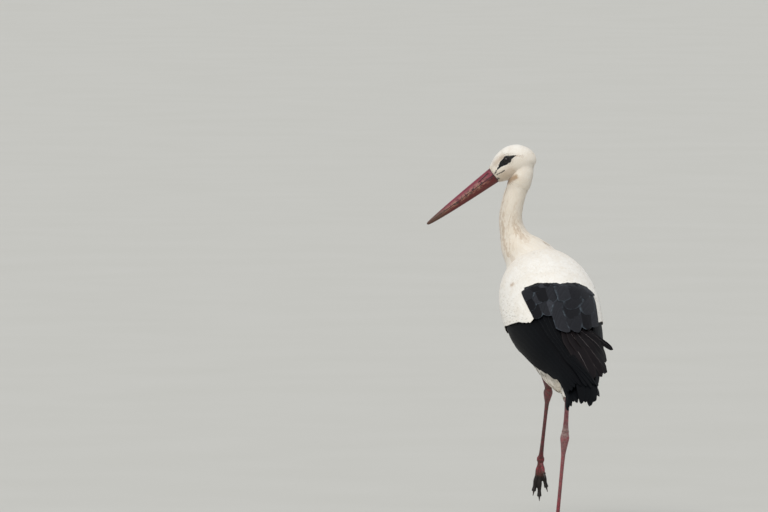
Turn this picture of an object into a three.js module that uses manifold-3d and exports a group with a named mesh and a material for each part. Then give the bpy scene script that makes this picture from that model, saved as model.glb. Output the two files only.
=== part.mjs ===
// A life-size white stork (Ciconia ciconia) walking: it stands on its right leg, the left one
// swings forward with its toes hanging, and the head looks back over the left shoulder.
// Millimetres. +Z is up, the bird walks towards -Y, its left is +X, and the origin is on the floor
// under the pad of the standing foot. Every piece is a three.js geometry bent into shape by a rule.
import * as THREE from "three";
import { mergeVertices } from "three/addons/utils/BufferGeometryUtils.js";
import Module from "manifold-3d";

const wasm = await Module();
wasm.setup();

const { lerp, degToRad, radToDeg, clamp } = THREE.MathUtils;
const v3 = (x, y, z) => new THREE.Vector3(x, y, z);
const LEFT = v3(1, 0, 0);

// ---------------------------------------------------------------- driving dimensions
const GAP = 0.4; // air between two pieces that touch in life

const BODY_CENTRE = v3(6, -17, 464); // middle of the trunk
const BODY_PITCH = degToRad(25); // the back slopes down to the tail by this much
const CHEST_TO_CENTRE = 200; // from the front of the chest back to the middle of the trunk

const BILL_BASE = v3(102, -175, 762); // middle of the bill where the face feathers end
const BILL_LENGTH = 176;
const BILL_DEPTH = { upper: 18, lower: 16 };
const BILL_HALF_WIDTH = 12.2;
const BILL_FULLNESS = { upper: 0.74, lower: 0.56 }; // the less, the blunter the wedge
const BILL_TIP = 1.8; // half-size of the blunt tip
const HEAD_FORWARD = v3(0.8009, -0.0955, -0.5912).normalize(); // along the bill
const HEAD_LEFT = v3(0.1562, 0.9863, 0.0523).normalize(); // out of the left cheek
const EYE_AT = { back: 39, up: 9.5, out: 17.6 }; // from the bill's base, in the head's frame
const EYE_RADIUS = 7.6;

const HEEL_RIGHT = v3(-11.5, 52, 231);
const HEEL_LEFT = v3(32, 97, 326);
const TOES_RIGHT = v3(0, 0, 8); // where the toes meet, just above the floor
const TOES_LEFT = v3(20.3, -68, 167);
const KNEE_RIGHT = v3(-48, -77, 448);
const KNEE_LEFT = v3(52, -122, 455);
const FEATHERED_SHARE = 0.62; // how far down the shin the feathers reach

// ---------------------------------------------------------------- helpers

// Values between the rows of a table, smoothly. Each row is [place, value, value, ...].
function between(rows, place) {
  const last = rows.length - 1;
  let i = 0;
  while (i < last - 1 && place > rows[i + 1][0]) i++;
  const span = rows[i + 1][0] - rows[i][0];
  const t = clamp((place - rows[i][0]) / span, 0, 1);
  const [before, after] = [Math.max(i - 1, 0), Math.min(i + 2, last)];
  return rows[i].slice(1).map((_, k) => {
    const [a, b] = [rows[i][k + 1], rows[i + 1][k + 1]];
    const slopeA = ((b - rows[before][k + 1]) / (rows[i + 1][0] - rows[before][0])) * span;
    const slopeB = ((rows[after][k + 1] - a) / (rows[after][0] - rows[i][0])) * span;
    const [t2, t3] = [t * t, t * t * t];
    return a * (2 * t3 - 3 * t2 + 1) + slopeA * (t3 - 2 * t2 + t) + b * (3 * t2 - 2 * t3) + slopeB * (t3 - t2);
  });
}

// One closed mesh: only positions, with the shared vertices merged.
function welded(geometry) {
  geometry.deleteAttribute("normal");
  geometry.deleteAttribute("uv");
  return mergeVertices(geometry, 1e-3);
}

// Six times the volume that the triangles enclose, negative where they face inwards.
function signedVolume(geometry) {
  const [p, index] = [geometry.getAttribute("position"), geometry.index.array];
  const [a, b, c] = [v3(), v3(), v3()];
  let sum = 0;
  for (let i = 0; i < index.length; i += 3) {
    [a, b, c].forEach((v, k) => v.fromBufferAttribute(p, index[i + k]));
    sum += a.dot(b.cross(c));
  }
  return sum;
}

// The geometry with each vertex put where the rule says, its faces turned outwards.
function bent(geometry, rule) {
  const made = welded(geometry);
  const p = made.getAttribute("position");
  for (let i = 0; i < p.count; i++) {
    const to = rule(v3().fromBufferAttribute(p, i));
    p.setXYZ(i, to.x, to.y, to.z);
  }
  if (signedVolume(made) < 0) {
    const index = made.index.array;
    for (let i = 0; i < index.length; i += 3) [index[i + 1], index[i + 2]] = [index[i + 2], index[i + 1]];
  }
  return made;
}

// A tube along a curve. section(t) gives its half-sizes towards and across the side direction.
function tube(curve, section, side, sides, steps) {
  return bent(new THREE.CylinderGeometry(1, 1, 1, sides, steps), (v) => {
    const t = v.y + 0.5;
    const along = curve.getTangentAt(t);
    const out = side.clone().addScaledVector(along, -side.dot(along)).normalize();
    const across = along.clone().cross(out);
    const [width, depth] = section(t);
    return curve.getPointAt(t).addScaledVector(out, v.x * width).addScaledVector(across, v.z * depth);
  });
}

const curveThrough = (...points) => new THREE.CatmullRomCurve3(points, false, "centripetal");

// The stretch of a curve between two shares of its length.
const stretch = (curve, low, high) => ({
  getTangentAt: (t) => curve.getTangentAt(lerp(low, high, t)),
  getPointAt: (t) => curve.getPointAt(lerp(low, high, t)),
});

// A solid for joining and cutting; grown moves every face out by so much first.
function solid(geometry, grown = 0) {
  let g = geometry;
  if (grown) {
    g = geometry.clone();
    g.computeVertexNormals();
    const [p, n] = [g.getAttribute("position"), g.getAttribute("normal")];
    for (let i = 0; i < p.count; i++) {
      p.setXYZ(i, p.getX(i) + n.getX(i) * grown, p.getY(i) + n.getY(i) * grown, p.getZ(i) + n.getZ(i) * grown);
    }
  }
  return new wasm.Manifold(
    new wasm.Mesh({
      numProp: 3,
      vertProperties: new Float32Array(g.getAttribute("position").array),
      triVerts: new Uint32Array(g.index.array),
    }),
  );
}

// The largest body of a solid, as a geometry.
function geometryOf(made) {
  const largest = made.decompose().reduce((a, b) => (a.volume() > b.volume() ? a : b));
  const { numProp, vertProperties, triVerts } = largest.getMesh();
  const xyz = new Float32Array((vertProperties.length / numProp) * 3);
  for (let i = 0; i < xyz.length / 3; i++) xyz.set(vertProperties.subarray(i * numProp, i * numProp + 3), i * 3);
  const g = new THREE.BufferGeometry().setAttribute("position", new THREE.BufferAttribute(xyz, 3));
  return g.setIndex(new THREE.BufferAttribute(new Uint32Array(triVerts), 1));
}

// geometry less its neighbours, with air left between them.
const clearOf = (geometry, ...neighbours) =>
  geometryOf(neighbours.reduce((left, n) => left.subtract(solid(n, GAP).add(solid(n))), solid(geometry)));

const joined = (...geometries) => geometryOf(geometries.map((g) => solid(g)).reduce((a, b) => a.add(b)));

// ---------------------------------------------------------------- materials
const material = (color, roughness) => new THREE.MeshStandardMaterial({ color, roughness, metalness: 0 });
const WHITE_FEATHER = material(0xf1eee6, 0.9);
const BLACK_FEATHER = material(0x1c1d21, 0.75);
const RED_BILL = material(0xa63a3f, 0.55);
const RED_LEG = material(0x9c3b42, 0.7);
const CLAW = material(0x2b2320, 0.5);
const EYE = material(0x140d0b, 0.1);

const stork = new THREE.Group();
stork.name = "white_stork";

// Adds one named piece to a group.
function piece(group, name, geometry, itsMaterial) {
  const mesh = new THREE.Mesh(geometry, itsMaterial);
  mesh.name = name;
  group.add(mesh);
}

function groupNamed(name) {
  const group = new THREE.Group();
  group.name = name;
  stork.add(group);
  return group;
}

// ---------------------------------------------------------------- trunk and closed wings
const BACKWARD = v3(0, Math.cos(BODY_PITCH), -Math.sin(BODY_PITCH));
const DORSAL = v3(0, Math.sin(BODY_PITCH), Math.cos(BODY_PITCH));

// A place in the body's frame: from the chest's front backwards, to the bird's left, and up its back.
const onBody = (back, left, up) =>
  BODY_CENTRE.clone()
    .addScaledVector(BACKWARD, back - CHEST_TO_CENTRE)
    .addScaledVector(LEFT, left)
    .addScaledVector(DORSAL, up);

// The outside of the body with its wings closed. Rows of [distance behind the chest, half-width on
// the left and on the right, height of the back, depth of the belly, angle of the wing's lower
// edge]. The neck bends to the left, which pushes the right shoulder out, and the right wing hangs
// a little loose behind.
const OUTSIDE = [
  [-14, 30, 28, 52, 12, -44],
  [6, 58, 56, 68, 34, -44],
  [40, 81, 84, 86, 62, -44],
  [90, 95, 102, 100, 80, -44],
  [160, 100, 108, 107, 88, -42],
  [230, 99, 104, 106, 84, -38],
  [300, 86, 97, 95, 70, -24],
  [370, 70, 86, 78, 59, -16],
  [430, 52, 70, 61, 52, -4],
  [490, 40, 58, 45, 34, 3],
  [550, 37, 50, 28, 22, 4],
  [612, 33, 36, 12, 14, 4],
];
const edgeBelow = (back) => between(OUTSIDE, back)[4];

// A point of that outside, or so far in from it. Angle 0 is out to the left, 90 the middle of the
// back, 180 out to the right and 270 the middle of the belly.
function onOutside(back, angle, inset) {
  const [left, right, top, bottom] = between(OUTSIDE, back).map((reach) => Math.max(reach - inset, 5));
  const [c, s] = [Math.cos(degToRad(angle)), Math.sin(degToRad(angle))];
  return onBody(back, c * (c > 0 ? left : right), s * (s > 0 ? top : bottom));
}

const ramp = (from, to, x) => clamp((x - from) / (to - from), 0, 1);

const WING_DEPTH = 15; // of the feathers over the trunk, and of those with the flight feathers
const WING_DEPTH_BEHIND = 20.5;
const TRUNK_END = 478;
const TAIL_ROOT_INSET = 32; // how far in the trunk has shrunk where the tail feathers leave it

// The trunk fills the outside below the wings and lies under them by their depth.
const trunk = bent(new THREE.CylinderGeometry(1, 1, 1, 22, 15), (v) => {
  const back = lerp(OUTSIDE[0][0], TRUNK_END, v.y + 0.5);
  const angle = radToDeg(Math.atan2(v.z, v.x));
  const fromSide = Math.abs(angle) > 90 ? 180 * Math.sign(angle) - angle : angle;
  const uncovered = ramp(-5, -30, fromSide - edgeBelow(back));
  const depth = lerp(WING_DEPTH, WING_DEPTH_BEHIND, ramp(290, 330, back));
  const inset = Math.max(lerp(depth, 1, uncovered), TAIL_ROOT_INSET * ramp(440, TRUNK_END, back));
  return onBody(back, 0, 5).lerp(onOutside(back, angle, inset), Math.hypot(v.x, v.z));
});

// A row of rounded feather tips: 1 at each tip, 0 in the notches between them.
const tips = (count, t) => Math.sqrt(Math.abs(Math.sin(Math.PI * count * t)));

// One tract of feathers as a shell on the left: from and to give its front and rear edge at a share
// of the way from its lower edge to its upper one, angles its two edges at a distance behind the
// chest, and layer its outer and inner inset, which rise by so much at the tips. mirror makes the
// right one.
function tract({ from, to, angles, layer, along, across, thin = 0.2, rise = 0 }, mirror) {
  return bent(new THREE.BoxGeometry(1, 1, 1, along, across, 1), (v) => {
    const [s, t] = [v.x + 0.5, v.y + 0.5];
    const back = lerp(from(t), to(t, mirror), s);
    const [low, high] = angles(back);
    const [outer, inner] = layer.map((inset) => inset - rise * ramp(548, 590, back));
    const depth = (inner - outer) * (1 - (1 - thin) * Math.pow(ramp(0.5, 1, s), 2));
    const angle = lerp(low, high, t);
    return onOutside(back, mirror ? 180 - angle : angle, v.z > 0 ? outer : outer + depth);
  });
}

const SHOULDER_LINE = 46; // the angle where the coverts end and the mantle and scapulars begin

// How far back the white coverts reach, from the wing's lower edge up to the shoulder line.
const covertsEnd = (t) => lerp(158, 322, Math.pow(t, 1.25));

const TRACTS = {
  coverts: {
    from: () => 12,
    to: (t) => covertsEnd(t) + 7 * tips(3, t),
    angles: (back) => [edgeBelow(back), SHOULDER_LINE - 0.5],
    layer: [0, 12],
    along: 7,
    across: 9,
    thin: 0.7,
    colour: WHITE_FEATHER,
  },
  scapulars: {
    from: (t) => lerp(204, 228, t),
    to: (t) => lerp(320, 358, t) + 10 * tips(2, t),
    angles: () => [SHOULDER_LINE + 0.5, 89.5],
    layer: [-4, 2.5],
    along: 4,
    across: 6,
    colour: BLACK_FEATHER,
  },
  tertials: {
    from: () => 238,
    to: (t) => lerp(500, 455, t) + 46 * tips(3, t),
    angles: (back) => [lerp(SHOULDER_LINE + 0.8, 18, ramp(334, 470, back)), 89],
    layer: [4.5, 11.5],
    along: 6,
    across: 9,
    colour: BLACK_FEATHER,
  },
  secondaries: {
    from: (t) => covertsEnd(t) - 10,
    to: (t, mirror) => lerp(mirror ? 420 : 388, mirror ? 540 : 505, t) + 10 * tips(4, t),
    angles: (back) => [edgeBelow(back), lerp(SHOULDER_LINE - 0.7, 14, ramp(320, 458, back))],
    layer: [2, 12],
    along: 6,
    across: 12,
    colour: BLACK_FEATHER,
  },
  primaries: {
    from: () => 340,
    to: (t, mirror) => (mirror ? lerp(530, 578, ramp(0, 0.5, t)) : lerp(584, 560, t)) + 18 * tips(4, t),
    angles: (back) => [edgeBelow(back) + 2, lerp(62, 86, ramp(420, 520, back))],
    layer: [13.5, 18.5],
    rise: 10,
    along: 6,
    across: 12,
    colour: BLACK_FEATHER,
  },
};

const closedWing = { left: [], right: [] }; // the tracts of each wing before cutting

// The mantle lies between the shoulders, over the trunk, and reaches back over the scapulars' roots.
const mantle = bent(new THREE.BoxGeometry(1, 1, 1, 5, 12, 1), (v) => {
  const [s, t] = [v.x + 0.5, Math.abs(2 * v.y)];
  const back = lerp(12, lerp(224, 200, t), s);
  const angle = 90 + v.y * 2 * (90 - SHOULDER_LINE - 0.5);
  return onOutside(back, angle, v.z > 0 ? 0 : 12);
});

// Two feathers of the right wing stand off it: each one's root and tip in the body's frame.
const LOOSE_FEATHERS = [
  ["loose_feather_upper", onOutside(366, 150, -3), onBody(373, -102, 21)],
  ["loose_feather_lower", onOutside(398, 149, -3.5), onBody(420, -85, -6)],
];
const LOOSE_FEATHER_WIDTH = 9;

function looseFeather(root, tip) {
  const along = tip.clone().sub(root).normalize();
  const across = along.clone().cross(LEFT).normalize();
  const off = across.clone().cross(along).normalize();
  return bent(new THREE.BoxGeometry(1, 1, 1, 6, 2, 1), (v) => {
    const s = v.x + 0.5;
    const half = LOOSE_FEATHER_WIDTH * Math.sqrt(Math.max(1 - s * s, 0.02)) * lerp(0.6, 1, ramp(0, 0.3, s));
    const place = root.clone().lerp(tip, s);
    return place.addScaledVector(across, v.y * 2 * half).addScaledVector(off, v.z * lerp(2.4, 1.2, s));
  });
}

function buildTrunk() {
  const body = groupNamed("body");
  const tail = bent(new THREE.BoxGeometry(1, 1, 1, 3, 12, 1), (v) => {
    const [s, t] = [v.x + 0.5, 2 * v.y];
    const half = lerp(15, 22, s);
    const end = 524 - 8 * t * t + 6 * tips(6, v.y + 0.5);
    return onBody(lerp(464, end, s), t * half, lerp(2, -8, s) - 3 * t * t + v.z * lerp(8, 4, s));
  });
  piece(body, "tail", clearOf(tail, trunk), WHITE_FEATHER);
  piece(body, "trunk", trunk, WHITE_FEATHER);
  piece(body, "mantle", mantle, WHITE_FEATHER);
  for (const sideName of ["left", "right"]) {
    const wing = groupNamed("wing_" + sideName);
    const mirror = sideName === "right";
    for (const [name, plan] of Object.entries(TRACTS)) {
      const raw = tract(plan, mirror);
      const cut = name === "secondaries" ? clearOf(raw, closedWing[sideName][0]) : raw;
      piece(wing, `${name}_${sideName}`, cut, plan.colour);
      closedWing[sideName].push(raw);
    }
  }
  for (const [name, root, tip] of LOOSE_FEATHERS) piece(stork, name, looseFeather(root, tip), BLACK_FEATHER);
}

// ---------------------------------------------------------------- neck and head
const HEAD_UP = HEAD_FORWARD.clone().cross(HEAD_LEFT).normalize();

// A place in the head's frame: ahead of the bill's base, up, and out to the head's left.
const onHead = (ahead, up, left) =>
  BILL_BASE.clone()
    .addScaledVector(HEAD_FORWARD, ahead)
    .addScaledVector(HEAD_UP, up)
    .addScaledVector(HEAD_LEFT, left);

// Rows of [distance behind the bill's base, half-width, height of the crown, depth of the jaw].
const HEAD = [
  [0, 12.5, 17, 18],
  [12, 17.5, 25, 24.5],
  [26, 22, 31, 29.5],
  [45, 25, 34, 32],
  [62, 26, 31, 34],
  [77, 23.5, 23, 34],
  [88, 17, 11, 31],
  [94, 8, -4, 22],
];

const NECK = curveThrough(
  v3(10, -119, 520),
  v3(26, -162, 578),
  v3(50, -180, 613),
  v3(61, -184, 643),
  v3(65.5, -182, 667),
  v3(64, -177, 692),
  v3(55, -173, 730),
  v3(44, -170, 762),
  v3(37, -167, 784),
);
// Rows of [share of the neck's length, half-width, half-depth].
const NECK_SIZE = [
  [0, 66, 66],
  [0.2, 59, 60],
  [0.36, 43, 48],
  [0.5, 28, 33],
  [0.62, 24.5, 28],
  [0.78, 23.5, 27],
  [0.9, 25.5, 28.5],
  [1, 20, 23],
];

function buildHead() {
  const head = groupNamed("head_and_neck");
  const skull = bent(new THREE.CylinderGeometry(1, 1, 1, 18, 10), (v) => {
    const behind = lerp(HEAD.at(-1)[0], 0, v.y + 0.5);
    const [width, top, bottom] = between(HEAD, behind);
    const [middle, half] = [(top - bottom) / 2, (top + bottom) / 2];
    return onHead(-behind, middle + v.x * half, v.z * width);
  });

  // Each half of the bill is a half-round wedge that meets the other along the mouth line.
  const mandible = (sign, half) =>
    bent(new THREE.CylinderGeometry(1, 1, 1, 14, 7), (v) => {
      const t = 0.5 - v.y; // 0 at the tip, 1 at the face
      const deep = lerp(BILL_TIP, BILL_DEPTH[half], Math.pow(t, BILL_FULLNESS[half]));
      const wide = lerp(BILL_TIP, BILL_HALF_WIDTH, Math.pow(t, 0.74));
      const mouth = lerp(0, -1.5, t) + sign * GAP * 0.5;
      const up = Math.max(0, sign * v.x) * deep;
      return onHead(lerp(BILL_LENGTH, GAP, t), mouth + sign * up, v.z * wide);
    });
  const upper = mandible(1, "upper");
  const lower = mandible(-1, "lower");

  const eyes = [1, -1].map((side) =>
    bent(new THREE.SphereGeometry(EYE_RADIUS, 12, 8), (v) =>
      onHead(-EYE_AT.back, EYE_AT.up, side * EYE_AT.out).add(v),
    ),
  );
  const neckLength = ([low, high]) =>
    tube(stretch(NECK, low, high), (t) => between(NECK_SIZE, lerp(low, high, t)), LEFT, 14, 5);
  const [lowest, middle, upmost] = [[0.16, 0.46], [0.462, 0.7], [0.702, 1]].map(neckLength);
  const underNeck = [trunk, mantle, closedWing.left[0], closedWing.right[0]];
  piece(head, "head", clearOf(skull, upper, lower, ...eyes), WHITE_FEATHER);
  piece(head, "bill_upper", upper, RED_BILL);
  piece(head, "bill_lower", lower, RED_BILL);
  piece(head, "eye_left", eyes[0], EYE);
  piece(head, "eye_right", eyes[1], EYE);
  piece(head, "neck_upper", clearOf(upmost, skull), WHITE_FEATHER);
  piece(head, "neck_middle", middle, WHITE_FEATHER);
  piece(head, "neck_lower", clearOf(lowest, ...underNeck), WHITE_FEATHER);
}

// ---------------------------------------------------------------- legs
// Rows of [share of the length, half-width, half-depth]: the bare shin, and the shank below the heel.
const SHIN_SIZE = [
  [0, 6.4, 7],
  [0.5, 5, 5.6],
  [0.85, 6, 7],
  [1, 8, 9],
];
const SHANK_SIZE = [
  [0, 7, 7.5],
  [0.05, 8.6, 9.6],
  [0.12, 6.6, 7.6],
  [0.22, 4.5, 5.4],
  [0.6, 4, 4.9],
  [0.9, 4.8, 5],
  [1, 6.6, 5.4],
];
const THIGH_SIZE = [
  [0, 9, 12],
  [0.1, 25, 31],
  [0.35, 27, 34],
  [0.75, 15, 19],
  [1, 9, 10],
];

// Each toe as [name, turn outwards in degrees, length, radius at its root]; the hind toe points back.
const TOES = [
  ["inner_toe", -30, 60, 5.2],
  ["middle_toe", 2, 78, 5.6],
  ["outer_toe", 32, 68, 5.2],
  ["hind_toe", -168, 34, 4.2],
];
const CLAW_LENGTH = 12;
const CLAW_RADIUS = 2.9;
const PALM = v3(8.5, 9, 10); // half-sizes of the pad where the toes meet

// A toe and its claw along a curve; the floor flattens whatever would sink under it.
function toeAndClaw(curve, length, radius, side, onFloor) {
  const share = length / curve.getLength();
  const pads = (t) => 1 + 0.12 * Math.cos(t * Math.PI * 6);
  const toeSize = (t) => [lerp(radius, 3.7, t) * pads(t), lerp(radius, 3.4, t) * pads(t)];
  const flat = (g) => {
    const p = g.getAttribute("position");
    if (onFloor) for (let i = 0; i < p.count; i++) p.setZ(i, Math.max(0, p.getZ(i)));
    return g;
  };
  const toe = flat(tube(stretch(curve, 0, share - 0.004), toeSize, side, 7, 5));
  const clawSize = (t) => [lerp(CLAW_RADIUS, 0.6, Math.sqrt(t)), lerp(CLAW_RADIUS, 0.6, Math.sqrt(t))];
  return [toe, flat(tube(stretch(curve, share, 1), clawSize, side, 6, 3))];
}

function buildLeg(sideName, side, knee, heel, toesAt, toeCurve) {
  const leg = groupNamed("leg_" + sideName);
  const featherEnd = knee.clone().lerp(heel, FEATHERED_SHARE);
  const straight = (a, b) => new THREE.LineCurve3(a, b);
  const thigh = tube(straight(knee, featherEnd), (t) => between(THIGH_SIZE, t), LEFT, 12, 6);
  const shin = tube(straight(featherEnd, heel), (t) => between(SHIN_SIZE, t), LEFT, 10, 3);
  const shank = tube(straight(heel, toesAt), (t) => between(SHANK_SIZE, t), LEFT, 9, 8);
  const palm = bent(new THREE.SphereGeometry(1, 9, 5), (v) =>
    v.multiply(PALM).add(toesAt).max(v3(-Infinity, -Infinity, 0)),
  );
  const shankAndPalm = joined(shank, palm);
  piece(leg, "thigh_" + sideName, clearOf(thigh, trunk, ...closedWing[sideName]), WHITE_FEATHER);
  piece(leg, "shin_" + sideName, clearOf(shin, thigh, shankAndPalm, trunk), RED_LEG);
  piece(leg, "shank_" + sideName, shankAndPalm, RED_LEG);
  const before = [];
  for (const [name, turn, length, radius] of TOES) {
    const { curve, across, onFloor } = toeCurve(name, length, turn * side);
    const [toe, claw] = toeAndClaw(curve, length, radius, across, onFloor);
    piece(leg, `${name}_${sideName}`, clearOf(toe, shankAndPalm, ...before), RED_LEG);
    piece(leg, `${name}_claw_${sideName}`, claw, CLAW);
    before.push(toe);
  }
}

// Standing: each toe runs out along the floor from the joint.
function standingToe(name, length, turn) {
  const a = degToRad(turn);
  const ahead = v3(Math.sin(a), -Math.cos(a), 0);
  const at = (distance, height) => v3(TOES_RIGHT.x, TOES_RIGHT.y, height).addScaledVector(ahead, distance);
  const root = name === "hind_toe" ? 11 : 7.5;
  const curve = curveThrough(
    at(2, root),
    at(length * 0.3, 4.2),
    at(length * 0.62, 3.4),
    at(length * 0.98, 2.7),
    at(length + CLAW_LENGTH, 1),
  );
  return { curve, across: v3(-ahead.y, ahead.x, 0), onFloor: true };
}

// Swinging: the toes hang together, a little spread, from the lifted joint.
const HANGING = {
  inner_toe: v3(-15, -6, -68),
  middle_toe: v3(1.5, -9, -87),
  outer_toe: v3(14.5, -9, -74),
  hind_toe: v3(-4, 19, -32),
};
function hangingToe(name, length) {
  const down = HANGING[name].clone().normalize();
  const curl = v3(0, 1, 0);
  const at = (distance, bow) => TOES_LEFT.clone().addScaledVector(down, distance).addScaledVector(curl, bow);
  const curve = curveThrough(
    at(2, 0),
    at(length * 0.4, -3),
    at(length * 0.8, -2.5),
    at(length, 0),
    at(length + CLAW_LENGTH * 0.95, 3.5),
  );
  return { curve, across: LEFT, onFloor: false };
}

buildTrunk();
buildHead();
buildLeg("right", -1, KNEE_RIGHT, HEEL_RIGHT, TOES_RIGHT, standingToe);
buildLeg("left", 1, KNEE_LEFT, HEEL_LEFT, TOES_LEFT, hangingToe);

export default stork;
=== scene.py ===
import math

import bpy
import numpy as np
from mathutils import Matrix, Vector, kdtree, noise
from mathutils.bvhtree import BVHTree


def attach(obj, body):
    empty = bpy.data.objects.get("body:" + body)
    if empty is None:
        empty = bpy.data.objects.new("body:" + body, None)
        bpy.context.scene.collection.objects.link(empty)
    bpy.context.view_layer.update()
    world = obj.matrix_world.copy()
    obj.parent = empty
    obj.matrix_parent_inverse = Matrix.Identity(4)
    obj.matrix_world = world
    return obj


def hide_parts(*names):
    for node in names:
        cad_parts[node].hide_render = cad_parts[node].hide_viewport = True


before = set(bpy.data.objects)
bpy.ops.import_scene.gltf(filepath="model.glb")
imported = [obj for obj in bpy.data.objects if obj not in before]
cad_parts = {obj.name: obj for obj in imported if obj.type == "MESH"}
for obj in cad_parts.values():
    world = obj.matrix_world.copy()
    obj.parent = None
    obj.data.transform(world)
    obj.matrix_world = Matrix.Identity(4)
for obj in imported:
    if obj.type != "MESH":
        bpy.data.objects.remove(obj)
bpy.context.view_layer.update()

bl_info = {
    "name": "White stork",
    "version": (1, 0, 0),
    "blender": (4, 5, 0),
    "location": "View3D > Sidebar > Stork",
    "description": "A life-size white stork: skin, plumage, bill, eyes, legs and claws over its solids",
    "category": "Object",
}

# The sizes below are in millimetres, as in the solids, and MM turns them to metres. +Z is up, the
# bird walks towards -Y, its left is +X, and the standing foot is at the origin.
MM = 0.001


# ---------------------------------------------------------------- sizes of the body
def unit(v):
    return v / np.linalg.norm(v, axis=-1, keepdims=True)


BODY_CENTRE = np.array([6, -17, 464.0])
BODY_PITCH = math.radians(25)  # the back slopes down to the tail by this much
CHEST_TO_CENTRE = 200
LEFT = np.array([1.0, 0, 0])
BACKWARD = np.array([0, math.cos(BODY_PITCH), -math.sin(BODY_PITCH)])
DORSAL = np.array([0, math.sin(BODY_PITCH), math.cos(BODY_PITCH)])

BILL_BASE = np.array([102, -175, 762.0])
BILL_LENGTH = 176
HEAD_FORWARD = unit(np.array([0.8009, -0.0955, -0.5912]))
HEAD_LEFT = unit(np.array([0.1562, 0.9863, 0.0523]))
HEAD_UP = unit(np.cross(HEAD_FORWARD, HEAD_LEFT))
EYE_BACK, EYE_UP, EYE_OUT, EYE_RADIUS = 39, 9.5, 17.6, 7.6

HEEL = {"right": np.array([-11.5, 52, 231]), "left": np.array([32.0, 97, 326])}
TOES = {"right": np.array([0.0, 0, 8]), "left": np.array([20.3, -68, 167])}
KNEE = {"right": np.array([-48.0, -77, 448]), "left": np.array([52.0, -122, 455])}
FEATHERED_SHARE = 0.62  # how far down the shin the feathers reach

# The outside of the body with its wings closed: distance behind the chest, half-width on the left
# and on the right, height of the back, depth of the belly, angle of the wing's lower edge.
OUTSIDE = [
    [-14, 30, 28, 52, 12, -44],
    [6, 58, 56, 68, 34, -44],
    [40, 81, 84, 86, 62, -44],
    [90, 95, 102, 100, 80, -44],
    [160, 100, 108, 107, 88, -42],
    [230, 99, 104, 106, 84, -38],
    [300, 86, 97, 95, 70, -24],
    [370, 70, 86, 78, 59, -16],
    [430, 52, 70, 61, 52, -4],
    [490, 40, 58, 45, 34, 3],
    [550, 37, 50, 28, 22, 4],
    [612, 33, 36, 12, 14, 4],
]
TRUNK_END = 478
TAIL_ROOT_INSET = 32  # how far in the trunk has shrunk where the tail feathers leave it

# Distance behind the bill's base, half-width, height of the crown, depth of the jaw.
HEAD = [
    [0, 12.5, 17, 18],
    [12, 17.5, 25, 24.5],
    [26, 22, 31, 29.5],
    [45, 25, 34, 32],
    [62, 26, 31, 34],
    [77, 23.5, 23, 34],
    [88, 17, 11, 31],
    [94, 8, -4, 22],
]
# The neck's middle, from inside the chest up into the skull, and its half-width and half-depth.
NECK_POINTS = [
    (10, -119, 520),
    (26, -162, 578),
    (50, -180, 613),
    (61, -184, 643),
    (65.5, -182, 667),
    (64, -177, 692),
    (55, -173, 730),
    (44, -170, 762),
    (37, -167, 784),
]
NECK_SIZE = [
    [0, 66, 66],
    [0.2, 59, 60],
    [0.36, 43, 48],
    [0.5, 28, 33],
    [0.62, 24.5, 28],
    [0.78, 24, 27.5],
    [0.9, 27.5, 31.5],
    [1, 22, 25],
]
# Share of the length, half-width, half-depth.
THIGH_SIZE = [[0, 9, 12], [0.1, 25, 31], [0.35, 27, 34], [0.75, 15, 19], [1, 9, 10]]
SHIN_SIZE = [[0, 6.4, 7], [0.5, 5, 5.6], [0.85, 6, 7], [1, 8, 9]]
SHANK_SIZE = [
    [0, 7.4, 8],
    [0.05, 9.7, 10.3],
    [0.12, 7.6, 8.2],
    [0.22, 4.7, 5.4],
    [0.6, 4, 4.9],
    [0.9, 4.8, 5],
    [1, 6.6, 5.4],
]
# Each toe: turn outwards in degrees, length, radius at its root, and where it hangs on the left.
TOE_PLANS = {
    "inner_toe": (-30, 60, 5.2, (-15, -6, -68)),
    "middle_toe": (2, 78, 5.6, (1.5, -9, -87)),
    "outer_toe": (32, 68, 5.2, (14.5, -9, -74)),
    "hind_toe": (-168, 34, 4.2, (-4, 19, -32)),
}
CLAW_LENGTH = 12


def far(places, other):
    """How far each place is from the other, or from its own other."""
    return np.linalg.norm(places - other, axis=1)


def between(rows, place):
    """Values between the rows of a table, smoothly, one row for each place."""
    rows = np.asarray(rows, float)
    x, values = rows[:, 0], rows[:, 1:]
    place = np.clip(np.atleast_1d(np.asarray(place, float)), x[0], x[-1])
    i = np.clip(np.searchsorted(x, place, side="right") - 1, 0, len(x) - 2)
    before, after = np.maximum(i - 1, 0), np.minimum(i + 2, len(x) - 1)
    span = x[i + 1] - x[i]
    t = ((place - x[i]) / span)[..., None]
    slope_a = (values[i + 1] - values[before]) * (span / (x[i + 1] - x[before]))[..., None]
    slope_b = (values[after] - values[i]) * (span / (x[after] - x[i]))[..., None]
    t2, t3 = t * t, t * t * t
    ends = values[i] * (2 * t3 - 3 * t2 + 1) + values[i + 1] * (3 * t2 - 2 * t3)
    return ends + slope_a * (t3 - 2 * t2 + t) + slope_b * (t3 - t2)


def grid(first, second):
    """Every pairing of two lists of values, as two flat lists."""
    return (g.ravel() for g in np.meshgrid(first, second, indexing="ij"))


def ramp(start, end, x):
    return np.clip((np.asarray(x, float) - start) / (end - start), 0, 1)


def mix(a, b, share):
    return a + (b - a) * share


def on_body(back, left, up):
    """A place in the body's frame: behind the chest's front, to the left, and up the back."""
    parts = [np.asarray(p, float)[..., None] for p in (back, left, up)]
    return BODY_CENTRE + BACKWARD * (parts[0] - CHEST_TO_CENTRE) + LEFT * parts[1] + DORSAL * parts[2]


def edge_below(back):
    return between(OUTSIDE, np.ravel(back))[:, 4].reshape(np.shape(back))


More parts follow.
